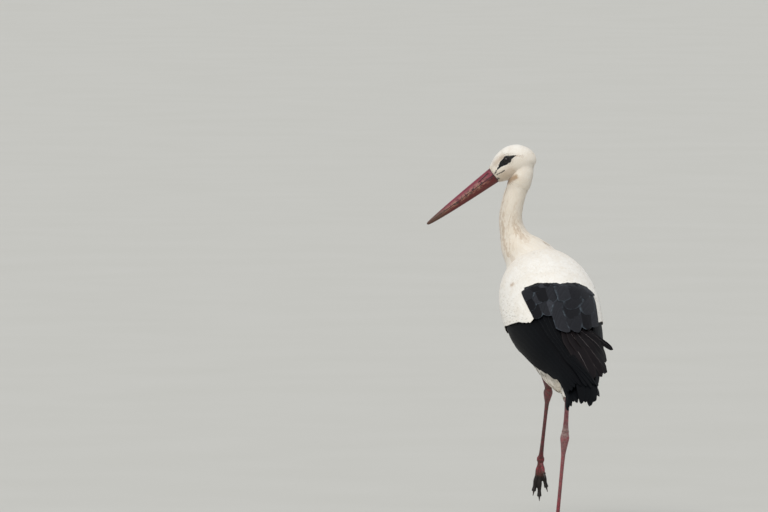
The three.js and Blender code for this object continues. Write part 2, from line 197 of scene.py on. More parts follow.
def on_outside(back, angle, inset):
    """A place on the outside of the closed body, or so far in. Angle 0 is left, 90 the back."""
    back, angle, inset = np.broadcast_arrays(*(np.asarray(p, float) for p in (back, angle, inset)))
    reach = between(OUTSIDE, back.ravel())[:, :4].reshape(back.shape + (4,)) - inset[..., None]
    left, right, top, bottom = np.moveaxis(np.maximum(reach, 5), -1, 0)
    c, s = np.cos(np.radians(angle)), np.sin(np.radians(angle))
    return on_body(back, c * np.where(c > 0, left, right), s * np.where(s > 0, top, bottom))


def on_head(ahead, up, left):
    """A place in the head's frame: ahead of the bill's base, up, and out to the head's left."""
    parts = [np.asarray(p, float)[..., None] for p in (ahead, up, left)]
    return BILL_BASE + HEAD_FORWARD * parts[0] + HEAD_UP * parts[1] + HEAD_LEFT * parts[2]


def in_head(places):
    """The same, the other way: how far each place is ahead, up and left in the head's frame."""
    from_base = places - BILL_BASE
    return from_base @ HEAD_FORWARD, from_base @ HEAD_UP, from_base @ HEAD_LEFT


class Path:
    """A smooth curve through a few points, measured by shares of its length."""

    def __init__(self, *points):
        p = np.asarray(points, float)
        p = np.vstack([2 * p[0] - p[1], p, 2 * p[-1] - p[-2]])
        knots = np.r_[0, np.cumsum(np.linalg.norm(np.diff(p, axis=0), axis=1) ** 0.5)]
        fine = []
        for i in range(1, len(p) - 2):
            t = np.linspace(knots[i], knots[i + 1], 40)[:, None]

            def blend(a, b, start, end):
                return (a * (end - t) + b * (t - start)) / (end - start)

            k = knots[i - 1 : i + 3]
            first = [blend(p[i - 1 + j], p[i + j], k[j], k[j + 1]) for j in range(3)]
            second = [blend(first[j], first[j + 1], k[j], k[j + 2]) for j in range(2)]
            stretch = blend(*second, k[1], k[2])
            fine.append(stretch if i == len(p) - 3 else stretch[:-1])
        self.fine = np.vstack(fine)
        steps = np.r_[0, np.cumsum(np.linalg.norm(np.diff(self.fine, axis=0), axis=1))]
        self.length = steps[-1]
        self.share = steps / self.length

    def at(self, share):
        return np.stack([np.interp(share, self.share, self.fine[:, k]) for k in range(3)], axis=-1)

    def along(self, share):
        share = np.asarray(share, float)
        return unit(self.at(np.minimum(share + 0.01, 1)) - self.at(np.maximum(share - 0.01, 0)))

    def nearest(self, places):
        """The share of the path nearest to each place."""
        shares = np.linspace(0, 1, 64)
        marks = self.at(shares)
        first = ((marks**2).sum(1) - 2 * places @ marks.T).argmin(1)
        start = np.clip(first - 1, 0, 61)
        way = marks[start + 2] - marks[start]
        step = ((places - marks[start]) * way).sum(1) / (way**2).sum(1)
        return shares[start] + np.clip(step, 0, 1) * 2 / 63


NECK = Path(*NECK_POINTS)
FEATHER_END = {side: mix(KNEE[side], HEEL[side], FEATHERED_SHARE) for side in KNEE}
THIGH = {side: Path(KNEE[side], FEATHER_END[side]) for side in KNEE}
SHIN = {side: Path(FEATHER_END[side], HEEL[side]) for side in KNEE}
SHANK = {side: Path(HEEL[side], TOES[side]) for side in KNEE}


def toe_path(side, toe):
    """The middle of a toe and its claw, and the direction across it."""
    turn, length, _, hang = TOE_PLANS[toe]
    if side == "left":
        down, curl = unit(np.array(hang, float)), np.array([0, 1.0, 0])
        reach = [(2, 0), (length * 0.4, -3), (length * 0.8, -2.5), (length, 0)]
        reach.append((length + CLAW_LENGTH * 0.95, 3.5))
        return Path(*(TOES[side] + down * far + curl * bow for far, bow in reach)), LEFT
    a = math.radians(-turn)
    ahead = np.array([math.sin(a), -math.cos(a), 0])
    root = 11 if toe == "hind_toe" else 7.5
    rise = [(2, root), (length * 0.3, 4.2), (length * 0.62, 3.4), (length * 0.98, 2.7)]
    rise.append((length + CLAW_LENGTH, 1))
    floor = TOES[side] * (1, 1, 0)
    middle = Path(*(floor + ahead * far + (0, 0, up) for far, up in rise))
    return middle, np.array([-ahead[1], ahead[0], 0])


# ---------------------------------------------------------------- making meshes
def only(piece):
    """Selects one object and makes it the active one."""
    bpy.ops.object.select_all(action="DESELECT")
    piece.select_set(True)
    bpy.context.view_layer.objects.active = piece


def in_scene(mesh):
    """A new object with that mesh, under the same name."""
    piece = bpy.data.objects.new(mesh.name, mesh)
    bpy.context.scene.collection.objects.link(piece)
    return piece


def outwards(piece, merged=True):
    """Turns every face outwards, and first merges doubled points where that is wanted."""
    only(piece)
    bpy.ops.object.mode_set(mode="EDIT")
    bpy.ops.mesh.select_all(action="SELECT")
    if merged:
        bpy.ops.mesh.remove_doubles(threshold=1e-6)
    bpy.ops.mesh.normals_make_consistent(inside=False)
    bpy.ops.object.mode_set(mode="OBJECT")
    return piece


def closed(name, places, faces):
    """A closed object from places in millimetres and faces of any size."""
    mesh = bpy.data.meshes.new(name)
    mesh.from_pydata((places.reshape(-1, 3) * MM).tolist(), [], faces)
    return outwards(in_scene(mesh))


def dressed(piece, material, degrees=180):
    """Gives a piece its material and smooth shading, but for edges sharper than so many degrees."""
    piece.data.materials.clear()
    piece.data.materials.append(material)
    only(piece)
    if degrees == 180:
        bpy.ops.object.shade_smooth()
    else:
        bpy.ops.object.shade_smooth_by_angle(angle=math.radians(degrees))
    return piece


def loft(name, rings):
    """A closed mesh through rings of places."""
    count, sides = rings.shape[:2]
    step = [(j, (j + 1) % sides) for j in range(sides)]
    faces = [
        (i * sides + j, i * sides + k, (i + 1) * sides + k, (i + 1) * sides + j)
        for i in range(count - 1)
        for j, k in step
    ]
    faces += [tuple(range(sides))[::-1], tuple(range((count - 1) * sides, count * sides))]
    return closed(name, rings, faces)


def rings_along(path, shares, half_sizes, side, sides):
    """Oval rings round a path: half-sizes towards the side direction and across it."""
    shares = np.asarray(shares, float)
    along = path.along(shares)
    out = unit(side - along * (along @ side)[:, None])
    across = np.cross(along, out)
    a = np.linspace(0, 2 * math.pi, sides, endpoint=False)[None, :, None]
    width, depth = half_sizes[:, 0, None, None], half_sizes[:, 1, None, None]
    out, across = out[:, None] * np.cos(a) * width, across[:, None] * np.sin(a) * depth
    return path.at(shares)[:, None] + out + across


def with_modifier(piece, kind, **settings):
    """Adds a modifier and applies it."""
    only(piece)
    modifier = piece.modifiers.new(kind.title(), kind)
    for key, value in settings.items():
        setattr(modifier, key, value)
    bpy.ops.object.modifier_apply(modifier=modifier.name)
    return piece


def joined(name, pieces):
    """Several objects as one."""
    only(pieces[0])
    for piece in pieces:
        piece.select_set(True)
    bpy.ops.object.join()
    pieces[0].name = pieces[0].data.name = name
    return pieces[0]


def grown_together(name, pieces, voxel, smoothing):
    """One closed surface over several that pass into each other."""
    piece = joined(name, pieces)
    with_modifier(piece, "REMESH", mode="VOXEL", voxel_size=voxel * MM)
    return with_modifier(piece, "SMOOTH", factor=0.5, iterations=smoothing)


def union(piece, other):
    with_modifier(piece, "BOOLEAN", operation="UNION", solver="MANIFOLD", object=other)
    bpy.data.objects.remove(other)
    return piece


def places_of(piece):
    co = np.empty(len(piece.data.vertices) * 3, np.float32)
    piece.data.vertices.foreach_get("co", co)
    return co.reshape(-1, 3).astype(float) / MM


def put(piece, **marks):
    """Gives a mesh attributes with one number for each point."""
    for name, values in marks.items():
        attribute = piece.data.attributes.new(name, "FLOAT", "POINT")
        attribute.data.foreach_set("value", np.asarray(values, np.float32))


# ---------------------------------------------------------------- materials
def linear(hex_colour):
    """An sRGB hex colour as linear red, green and blue."""
    parts = [int(hex_colour[i : i + 2], 16) / 255 for i in (1, 3, 5)]
    return tuple(p / 12.92 if p <= 0.04045 else ((p + 0.055) / 1.055) ** 2.4 for p in parts)


# Short name: the node, its inputs in the order that values are given in, its output, its settings.
NODES = {
    "mix": ("ShaderNodeMix", (0, 6, 7), 2, {"data_type": "RGBA"}),
    "ramp": ("ShaderNodeMapRange", (0, 1, 2, 3, 4), 0, {"interpolation_type": "SMOOTHSTEP"}),
    "noise": ("ShaderNodeTexNoise", ("Vector", "Scale", "Detail"), 0, {}),
    "mark": ("ShaderNodeAttribute", (), "Fac", {}),
    "place": ("ShaderNodeTexCoord", (), "Object", {}),
    "vane": ("ShaderNodeUVMap", (), 0, {"uv_map": "Vane"}),
    "apart": ("ShaderNodeSeparateXYZ", (0,), 0, {}),
    "together": ("ShaderNodeCombineXYZ", (0, 1), 0, {}),
    "bump": ("ShaderNodeBump", ("Height", "Distance"), 0, {}),
    "surface": ("ShaderNodeBsdfPrincipled", ("Base Color", "Normal"), 0, {}),
    "output": ("ShaderNodeOutputMaterial", ("Surface",), None, {}),
}


def add(m, kind, *values, **settings):
    """Adds a node by its short name, or a Math node by its operation, and gives its output. A value
    is a number, a colour, the name of an attribute of the mesh or another node's output."""
    math_node = ("ShaderNodeMath", (0, 1, 2), 0, {"operation": kind})
    full_kind, keys, output, own_settings = NODES.get(kind, math_node)
    node = m.node_tree.nodes.new(full_kind)
    for name, value in {**own_settings, **settings}.items():
        setattr(node, name, value)
    for key, value in zip(keys, values):
        socket = node.inputs[key]
        if isinstance(value, str):
            value = linear(value) if value[0] == "#" else add(m, "mark", attribute_name=value)
        if isinstance(value, bpy.types.NodeSocket):
            m.node_tree.links.new(value, socket)
        else:
            socket.default_value = (*value, 1) if socket.type == "RGBA" else value
    return None if output is None else node.outputs[output]


def painted(m, base, *layers):
    """A colour with others laid over it in turn. Each has a factor, which may be a ramp: a value,
    where the ramp starts and ends, and what it gives there."""
    for factor, colour in layers:
        if isinstance(factor, tuple):
            factor = add(m, "ramp", *factor)
        base = add(m, "mix", factor, base, colour)
    return base


def patches(size):
    """The scale of a noise whose patches are about that size in millimetres."""
    return 1 / (size * MM)


def finish(name, colour, bump=None, bump_mm=0.3, **shader):
    """A material whose builder functions give its colour and bump; plain numbers go on the shader."""
    m = bpy.data.materials.new(name)
    m.use_nodes = True
    m.node_tree.nodes.clear()
    where = add(m, "place")
    relief = [add(m, "bump", bump(m, where), bump_mm * MM)] if bump else []
    surface = add(m, "surface", colour(m, where), *relief)
    for key, value in shader.items():
        surface.node.inputs[key.replace("_", " ")].default_value = value
    add(m, "output", surface)
    return m


def vane(m):
    """Where a point is on its own feather: across from 0 to 1, and along from root to tip."""
    across = add(m, "apart", add(m, "vane"))
    return across, across.node.outputs[1]


def off_shaft(m, across):
    """How far a point is from its feather's shaft, from 0 to 0.5."""
    return add(m, "ABSOLUTE", add(m, "SUBTRACT", across, 0.5))


def barbs(m, count):
    """Fine ridges that run from the shaft out and towards the tip, as the barbs of a vane do."""
    across, along = vane(m)
    slanted = add(m, "SUBTRACT", along, add(m, "MULTIPLY", off_shaft(m, across), 0.6))
    return add(m, "noise", add(m, "together", add(m, "MULTIPLY", slanted, count), across), 1.0, 2.0)


def white_feather_material(colours):
    """Keratin, grown as loose white barbs: matt and soft, with painted shade that greys each feather
    towards its root, where the ones above overlap it, and cream and stained in patches where the
    bird preens."""

    def colour(m, where):
        return painted(
            m,
            colours.white,
            (add(m, "MULTIPLY_ADD", "shade", 0.22, "cream"), colours.cream),
            # painted shade: each feather greyer towards its root, where the feathers above overlap it
            ((vane(m)[1], 0.5, 0.0, 0.0, 0.2), "#D8D2C6"),
            ((barbs(m, 22), 0.35, 0.75, 0.0, 0.12), "#C2BBAD"),
            ((add(m, "noise", where, patches(26), 3.0), 0.45, 0.75, 0.0, 0.25), colours.cream),
            ("warm", colours.buff),
            ("dark", colours.face),
        )

    return finish("white_feather_keratin", colour, lambda m, where: barbs(m, 26), 0.25, Roughness=0.82,
                  Sheen_Weight=0.25, Sheen_Roughness=0.6, IOR=1.45)


def flight_feather_material(name, dark, light, rim, **shader):
    """A firm vane: close barbs, a rim worn a little paler, and a shaft that may be pale."""

    def colour(m, where):
        across, along = vane(m)
        out = off_shaft(m, across)
        fading = add(m, "MULTIPLY", "pale_shaft", add(m, "ramp", along, 0.95, 0.5, 0.15, 1.0))
        shaft = add(m, "MULTIPLY", add(m, "ramp", out, 0.022, 0.008), fading)
        return painted(m, dark, ("shade", light), ((barbs(m, 70), 0.4, 0.7, 0.0, 0.45), "#050607"),
                       ((out, 0.42, 0.5, 0.0, 0.3), rim), (shaft, "#9A9291"))

    return finish(name, colour, lambda m, where: barbs(m, 90), 0.12, Specular_IOR_Level=0.15, **shader)


def black_feather_material(colours):
    """Keratin full of melanin, in firm vanes: close barbs give it a silky blue-black shine."""
    return flight_feather_material("black_feather_keratin", colours.black, "#090B0E", "#171C21",
                                   Roughness=0.55, IOR=1.28)


def tertial_material():
    """The same keratin bleached by the sun: brownish black, duller, with pale shafts."""
    return flight_feather_material("sun_worn_black_feather_keratin", "#121012", "#1D191B", "#332E2D",
                                   Roughness=0.6, IOR=1.3)


def scapular_material():
    """The same keratin in looser, older feathers: charcoal, with worn blue-grey frosting at the rims."""

    def colour(m, where):
        across, along = vane(m)
        side, tip = add(m, "ramp", off_shaft(m, across), 0.34, 0.5), add(m, "ramp", along, 0.88, 1.0)
        patchy = add(m, "ramp", add(m, "noise", where, patches(12), 3.0), 0.4, 0.7, 0.05, 0.6)
        worn = add(m, "MULTIPLY", add(m, "MAXIMUM", side, tip), patchy)
        return painted(m, "#101014", (add(m, "POWER", "shade", 3.0), "#3A3C42"),
                       ((barbs(m, 40), 0.4, 0.7, 0.0, 0.45), "#0D0E10"), (worn, "#5E6B74"))

    return finish("worn_black_feather_keratin", colour, lambda m, where: barbs(m, 50), 0.2,
                  Roughness=0.6, IOR=1.35, Specular_IOR_Level=0.2)


def leg_colour(m, where, colours):
    """Red, under dried mud that is thickest on the toes, with painted shade on the lifted left leg,
    and chalky where the heel is rubbed.
    """
    fine, coarse = (add(m, "noise", where, patches(size), 3.0) for size in (4, 5))
    # dried mud on both legs, with painted shade added on the lifted left leg
    grained = add(m, "ADD", "mud", add(m, "ramp", coarse, 0.3, 0.7, -0.22, 0.22))
    flaking = add(m, "MULTIPLY", "chalk", add(m, "ramp", fine, 0.35, 0.6, 0.35, 1.0))
    return painted(m, colours.leg, ((add(m, "noise", where, patches(9), 3.0), 0.3, 0.7), "#74323C"),
                   ((grained, 0.05, 0.95), "#4A3028"), (flaking, "#B3A09A"),
                   (("mud", 0.75, 1.0, 0.0, 0.95), "#130F0C"))


def skin_material(colours):
    """Living skin: cream under the feathers, black and slightly moist round the eye, and dry, red
    and finely creased on the legs."""

    def colour(m, where):
        return painted(m, "#DCD3C4", ((add(m, "noise", where, patches(4), 3.0), 0.3, 0.7), "#C9BCA8"),
                       ("leg", leg_colour(m, where, colours)), ("warm", colours.buff), ("dark", colours.face))

    return finish("bird_skin", colour, lambda m, where: add(m, "noise", where, patches(1.1), 4.0), 0.25,
                  Roughness=0.55, IOR=1.4)


def scale_material(colours):
    """Horny scales in small plates, dry and dusty, red where clean and brown where mud has dried,
    and darker with painted shade on the lifted left leg.
    """
    return finish("leg_scale_keratin", lambda m, where: leg_colour(m, where, colours),
                  lambda m, where: add(m, "noise", where, patches(0.7), 4.0), 0.15, Roughness=0.5, IOR=1.5)


def bill_material(colours):
    """A horn sheath: red, smooth under scratches that run its length, worn pale along the mouth
    edge, with dried dirt in the grooves and a brown tip."""

    def colour(m, where):
        lengthwise = add(m, "together", add(m, "MULTIPLY", "along", 9.0), add(m, "MULTIPLY", "up", 5.0))
        grain = add(m, "noise", lengthwise, 1.6, 5.0)
        off_ends = add(m, "MULTIPLY", add(m, "ramp", "along", 0.03, 0.2), add(m, "ramp", "along", 1.0, 0.85))
        by_the_mouth = add(m, "MULTIPLY", add(m, "ramp", "up", 0.7, 0.12), off_ends)
        rubbed = add(m, "MULTIPLY", by_the_mouth, add(m, "ramp", grain, 0.44, 0.56))
        spots = add(m, "ramp", add(m, "noise", where, patches(5), 5.0), 0.5, 0.6)
        dirty = add(m, "MULTIPLY", spots, add(m, "ramp", "up", 0.62, 0.1))
        return painted(
            m,
            colours.bill,
            ((grain, 0.38, 0.62), "#6E2233"),
            # painted shade: the lower half of the bill is painted darker, as its underside lies in shade
            ("lower", "#5A0F10"),
            (add(m, "MULTIPLY", rubbed, 0.8), "#A9806A"),
            (add(m, "MULTIPLY", dirty, 0.9), "#241514"),
            (("along", 0.6, 0.88, 0.0, 0.88), "#523A2B"),
            # painted shade along the line where the two halves of the bill meet
            (("up", 0.09, 0.03), "#241012"),
            (("along", 0.03, 0.0, 0.0, 0.7), "#2A1216"),
            # painted shade inside the nostril slit
            ("slit", "#120C0C"),
        )

    return finish("bill_horn", colour, lambda m, where: add(m, "noise", where, patches(1.6), 5.0), 0.22,
                  Roughness=0.42, IOR=1.5, Coat_Weight=0.08)


def claw_material():
    """Dark horn, dull and chipped at the end, with earth dried on it."""

    def colour(m, where):
        return painted(m, "#1C1613", ((add(m, "noise", where, patches(3), 3.0), 0.35, 0.65), "#3D2F27"))

    return finish("claw_horn", colour, lambda m, where: add(m, "noise", where, patches(0.8), 3.0), 0.15,
                  Roughness=0.5, IOR=1.5)


def eye_material():
    """A wet eyeball: a black pupil in a dark brown iris, both under a clear, glossy cornea."""

    def colour(m, where):
        return painted(m, "#020203", (("from_pole", 0.46, 0.52), "#1A100B"),
                       (("from_pole", 0.72, 0.8), "#0A0808"))

    return finish("cornea", colour, Roughness=0.08, IOR=1.36, Coat_Weight=0.25, Coat_Roughness=0.03)


# ---------------------------------------------------------------- markings, shared by skin and coat
def capsule(x, y, start, end, start_radius, end_radius, soft=1.0):
    """1 within a tapering stroke between two points, falling to 0 over its soft edge."""
    way = np.subtract(end, start)
    t = np.clip(((x - start[0]) * way[0] + (y - start[1]) * way[1]) / (way @ way), 0, 1)
    apart = np.hypot(x - start[0] - t * way[0], y - start[1] - t * way[1])
    return ramp(soft, 0, apart - mix(start_radius, end_radius, t))


def bare_mask(places):
    """The bare black skin round the eye, which runs forward to a point near the gape."""
    ahead, up, left = in_head(places)
    strokes = [
        capsule(ahead, up, (-41, 9), (-27, 8.5), 8.4, 6.2),
        capsule(ahead, up, (-27, 8.5), (-9, 4.5), 6.0, 1.2),
        capsule(ahead, up, (-46, 9), (-60, 6), 4.4, 0.8),
    ]
    return ramp(6, 9, np.abs(left)) * np.max(strokes, axis=0) * ramp(-120, -100, ahead)


def black_face(places):
    """All that is black on the face: the mask, the line of the gape and a mark beside the chin."""
    ahead, up, left = in_head(places)
    lines = [
        capsule(ahead, up, (-1, 2), (-8, 4.5), 0.9, 0.9, 0.6),
        capsule(ahead, up, (-3, -2.5), (-19, -5.5), 0.9, 0.5, 0.6),
        capsule(ahead, up, (2, -8.5), (-2, -9.5), 2.2, 1.0),
    ]
    return np.maximum(bare_mask(places), ramp(4, 7, np.abs(left)) * np.max(lines, axis=0))


def warm_tint(places):
    """Where the white is stained buff: the brow and the cheek; and painted shadow, in the same buff,
    in the fold of the throat under the jaw.
    """
    ahead, up, _ = in_head(places)
    spots = [
        0.45 * capsule(ahead, up, (-12, 16), (-34, 20), 1, 1, 7),
        0.42 * capsule(ahead, up, (-6, -11), (-28, -15), 3, 5, 10),
        0.6 * capsule(ahead, up, (-56, 6), (-78, 1), 0.2, 0.1, 2.0),
        # painted shadow in the fold between jaw and neck
        0.8 * capsule(ahead, up, (-14, -28), (-30, -32), 2, 2, 4),
    ]
    return np.max(spots, axis=0) * ramp(-110, -90, ahead)


def cream_tint(places):
    """How creamy the white is: most on the neck and under the tail, least on the back."""
    share = NECK.nearest(places)
    up = in_head(places)[1]
    back, _, up_body, _ = in_body(places)
    neck = 0.55 * ramp(0.04, 0.45, share)
    head = mix(0.42, 0.1, ramp(-5, 22, up)) * (share > 0.9)
    under = 0.6 * ramp(330, 420, back) * (up_body < 20) * (share < 0.1)
    return np.maximum(np.where(share > 0.9, head, neck), under)


def streaks(places, seed):
    """Narrow stained locks that run down the neck."""
    along = NECK.nearest(places)
    off = places - NECK.at(along)
    turn = np.arctan2(off @ LEFT, off @ np.array([0, 1.0, 0]))
    wave = [noise.noise(Vector((t * 3.4, a * 2.6, seed))) for t, a in zip(turn, along)]
    on_neck = ramp(0.15, 0.45, along) * ramp(0.98, 0.85, along)
    return 0.42 * ramp(0.1, 0.42, np.array(wave)) * on_neck


# ---------------------------------------------------------------- skin
# How much dark brown each leg has, from none to all over: dried mud, and on the lifted left leg
# painted shade as well. And how pale the heel is.
MUD_AND_SHADE = {
    "right": {"heel": 0.2, "foot": 0.46, "toes": 0.8},
    # painted shade as well as mud: this leg is lifted and in shade, so its numbers are higher
    "left": {"heel": 0.6, "foot": 0.62, "toes": 1.0},
}
CHALK = {"right": 0.9, "left": 0.15}
# How deep the skin lies inside the solids' outside, and how deep under the folded wing.
COAT_DEPTH = {"head": 1.5, "neck": 5.5, "body": 9.0}
UNDER_WING = {"front": 16, "rear": 21.5}


def trunk_rings():
    back = np.r_[-16, -14, np.linspace(-9, TRUNK_END, 84)]
    angle = np.linspace(0, 360, 100, endpoint=False)
    back, angle = np.meshgrid(back, angle, indexing="ij")
    signed = (angle + 180) % 360 - 180
    from_side = np.where(np.abs(signed) > 90, 180 * np.sign(signed) - signed, signed)
    bare = ramp(-5, -30, from_side - edge_below(back))
    depth = mix(UNDER_WING["front"], UNDER_WING["rear"], ramp(290, 330, back))
    at_tail = TAIL_ROOT_INSET * ramp(440, TRUNK_END, back)
    inset = np.maximum(mix(depth, COAT_DEPTH["body"], bare), at_tail)
    return on_outside(back, angle, inset + 22 * ramp(-9, -16, back))


def neck_rings():
    share = np.linspace(0.06, 1, 90)
    depth = mix(COAT_DEPTH["body"], COAT_DEPTH["neck"], ramp(0.1, 0.45, share))
    depth = mix(depth, 4.0, ramp(0.75, 1, share))
    return rings_along(NECK, share, between(NECK_SIZE, share) - depth[:, None], LEFT, 60)


def head_rings():
    behind = np.linspace(0, 94, 90)[:, None]
    a = np.linspace(0, 2 * math.pi, 96, endpoint=False)[None]
    rows = between(HEAD, behind[:, 0])
    width, top, bottom = (rows[:, k, None] - COAT_DEPTH["head"] * ramp(0, 12, behind) for k in range(3))
    up = (top - bottom) / 2 + np.cos(a) * (top + bottom) / 2
    left = np.sin(a) * width
    side = np.sign(left)
    near_eye = np.exp(-(((behind - EYE_BACK) / 9) ** 2 + ((up - EYE_UP) / 7) ** 2))
    brow = np.exp(-(((behind - 36) / 13) ** 2 + ((up - 20) / 3.6) ** 2))
    lore = np.exp(-(((behind - 17) / 9) ** 2 + ((up - 7) / 5) ** 2))
    cheek = np.exp(-(((behind - 40) / 16) ** 2 + ((up + 12) / 8) ** 2))
    left = left + side * (1.5 * brow - 1.4 * near_eye - 1.5 * lore + 0.8 * cheek)
    return on_head(-behind + 0 * a, up, left)


def lid_rings(side):
    """The rim of bare skin that closes round the eye, a little drawn out to the front and rear."""
    a = np.linspace(0, 2 * math.pi, 48, endpoint=False)[:, None]
    b = np.linspace(0, 2 * math.pi, 12, endpoint=False)[None]
    radius = 6.2 + 0.5 * np.cos(2 * a) + 1.5 * np.cos(b)
    out = 22.4 - 1.0 * np.abs(np.cos(a)) + 1.3 * np.sin(b)
    return on_head(-EYE_BACK + radius * np.cos(a), EYE_UP + radius * 0.95 * np.sin(a), side * out)


def ring_piece(name, places):
    """A closed ring from a grid of places that runs round both ways."""
    count, sides = places.shape[:2]
    at = lambda i, j: i % count * sides + j % sides
    faces = [
        (at(i, j), at(i, j + 1), at(i + 1, j + 1), at(i + 1, j))
        for i in range(count)
        for j in range(sides)
    ]
    return closed(name, places, faces)


def thigh_rings(side):
    share = np.linspace(0, 1, 40)
    return rings_along(THIGH[side], share, np.maximum(between(THIGH_SIZE, share) - 6.5, 4), LEFT, 40)


def leg_pieces(side):
    """The bare shin, the shank with its heel and palm, and the toes, each a closed tube."""
    share = np.linspace(0, 1, 40)
    pieces = [loft("shin", rings_along(SHIN[side], share, between(SHIN_SIZE, share) - 0.4, LEFT, 28))]
    inside = Path(mix(KNEE[side], FEATHER_END[side], 0.7), mix(FEATHER_END[side], HEEL[side], 0.2))
    pieces.append(loft("shin_top", rings_along(inside, share, np.full((40, 2), 5.4), LEFT, 28)))
    share = np.linspace(0, 1, 150)
    pieces.append(loft("shank", rings_along(SHANK[side], share, between(SHANK_SIZE, share) - 0.4, LEFT, 28)))
    round_share = np.linspace(-1, 1, 24)
    ball = np.sqrt(np.maximum(1 - round_share**2, 0.02))[:, None] * np.array([[8.1, 8.6]])
    palm = Path(TOES[side] + (0, 0, -9.6), TOES[side] + (0, 0, 9.6))
    pieces.append(loft("palm", on_the_floor(rings_along(palm, (round_share + 1) / 2, ball, LEFT, 28))))
    for toe, (_, length, radius, _) in TOE_PLANS.items():
        path, across = toe_path(side, toe)
        share = np.linspace(0, length / path.length, 50)
        t = share * path.length / length
        size = np.stack([mix(radius, 4.6, t), mix(radius, 3.9, t)], axis=-1) - 0.3
        size = size * (1 + 0.12 * np.cos(t * math.pi * 6))[:, None]
        pieces.append(loft(toe, on_the_floor(rings_along(path, share, size, across, 24))))
    return pieces


def on_the_floor(places, least=0.3):
    """Flattens what would sink under the floor."""
    places[..., 2] = np.maximum(places[..., 2], least)
    return places


def leg_marks(places):
    """How muddy the legs are, with painted shade added on the lifted left one, how chalky they are,
    and where the skin is leg at all.
    """
    mud, chalk, leg, nearest = (np.zeros(len(places)) for _ in range(4))
    nearest += np.inf
    for side in ("right", "left"):
        shin, shank = SHIN[side], SHANK[side]
        on_shin, on_shank = shin.nearest(places), shank.nearest(places)
        apart = np.minimum(far(places, shin.at(on_shin)), far(places, shank.at(on_shank)))
        near_foot = far(places, TOES[side])
        below = places[:, 2] < TOES[side][2] + 14
        apart = np.where(below & (near_foot < 112) & (nearest > 20), 19, apart)
        here = (apart < 20) & (apart < nearest)
        nearest = np.where(here, apart, nearest)
        amount = mix(MUD_AND_SHADE[side]["heel"], MUD_AND_SHADE[side]["foot"], on_shank**0.7)
        amount = np.maximum(amount, MUD_AND_SHADE[side]["toes"] * below * ramp(6, 40, near_foot))
        mud[here], leg[here] = amount[here], 1
        dusty = np.maximum(ramp(22, 6, far(places, HEEL[side])), 0.4 * ramp(0.9, 0.1, on_shank))
        chalk[here] = (CHALK[side] * dusty)[here]
    return mud, chalk, leg


def nape(places):
    """Where the back of the head goes over into the neck."""
    ahead, up, _ = in_head(places)
    return ramp(-44, -58, ahead) * ramp(26, 10, up) * ramp(0.74, 0.84, NECK.nearest(places))


def even_out(piece, where):
    """Rounds off a crease between two parts that have grown together."""
    group = piece.vertex_groups.new(name=where.__name__)
    for index, weight in enumerate(where(places_of(piece))):
        if weight > 0:
            group.add([index], weight, "REPLACE")
    with_modifier(piece, "SMOOTH", factor=0.5, iterations=110, vertex_group=group.name)
    piece.vertex_groups.clear()


def make_skin(colours):
    """One closed skin over head, neck, trunk and both legs, inside the solids by the coat's depth."""
    pieces = [loft("trunk_skin", trunk_rings()), loft("neck_skin", neck_rings())]
    pieces += [loft("thigh_skin", thigh_rings(side)) for side in KNEE]
    skin = grown_together("skin", pieces, 3.3, 6)
    head = [loft("head_skin", head_rings())] + [ring_piece("lid", lid_rings(side)) for side in (1, -1)]
    skin = union(skin, grown_together("head_skin", head, 1.0, 2))
    even_out(skin, nape)
    for side in KNEE:
        skin = union(skin, grown_together("leg_skin", leg_pieces(side), 1.25, 2))
    skin.name = skin.data.name = "skin"
    places = places_of(skin)
    mud, chalk, leg = leg_marks(places)
    put(skin, mud=mud, chalk=chalk, leg=leg, dark=black_face(places), warm=warm_tint(places))
    return dressed(skin, skin_material(colours))


# ---------------------------------------------------------------- feathers
def repeated(name, places, faces):
    """One mesh of many like sheets: places is sheets x points x 3, faces are those of one sheet."""
    sheets, points = places.shape[:2]
    corners = np.concatenate([np.array(f) for f in faces])
    sizes = np.tile([len(f) for f in faces], sheets)
    loops = (corners[None] + points * np.arange(sheets)[:, None]).ravel()
    mesh = bpy.data.meshes.new(name)
    mesh.vertices.add(sheets * points)
    mesh.vertices.foreach_set("co", (places.reshape(-1) * MM).astype(np.float32))
    mesh.loops.add(len(loops))
    mesh.loops.foreach_set("vertex_index", loops.astype(np.int32))
    mesh.polygons.add(len(sizes))
    mesh.polygons.foreach_set("loop_start", np.r_[0, np.cumsum(sizes)[:-1]].astype(np.int32))
    mesh.polygons.foreach_set("loop_total", sizes.astype(np.int32))
    mesh.update(calc_edges=True)
    return in_scene(mesh), loops


def unroll(piece, map_name, uv, loops):
    """Gives a mesh a UV map from one pair of numbers for each point."""
    layer = piece.data.uv_layers.new(name=map_name)
    layer.data.foreach_set("uv", uv.reshape(-1, 2)[loops].astype(np.float32).ravel())


def sheet_faces(rows, columns, doubled):
    """The faces of one closed sheet. A small one shares its rim with a flat back; a doubled one has
    a back of its own, joined by a wall round the rim."""
    wide, front = columns + 1, (rows + 1) * (columns + 1)
    at = lambda r, c: r * wide + c
    faces = [
        (at(r, c), at(r + 1, c), at(r + 1, c + 1), at(r, c + 1)) for r in range(rows) for c in range(columns)
    ]
    if not doubled:
        faces += [(at(r, 0), at(r, columns), at(r + 1, columns), at(r + 1, 0)) for r in range(rows)]
        faces.append(tuple(at(0, c) for c in range(wide)))
        faces.append(tuple(at(rows, c) for c in reversed(range(wide))))
        return faces
    faces += [tuple(i + front for i in reversed(f)) for f in faces]
    rim = [at(r, 0) for r in range(rows)] + [at(rows, c) for c in range(columns)]
    rim += [at(r, columns) for r in range(rows, 0, -1)] + [at(0, c) for c in range(columns, 0, -1)]
    return faces + [(a + front, b + front, b, a) for a, b in zip(rim, rim[1:] + rim[:1])]


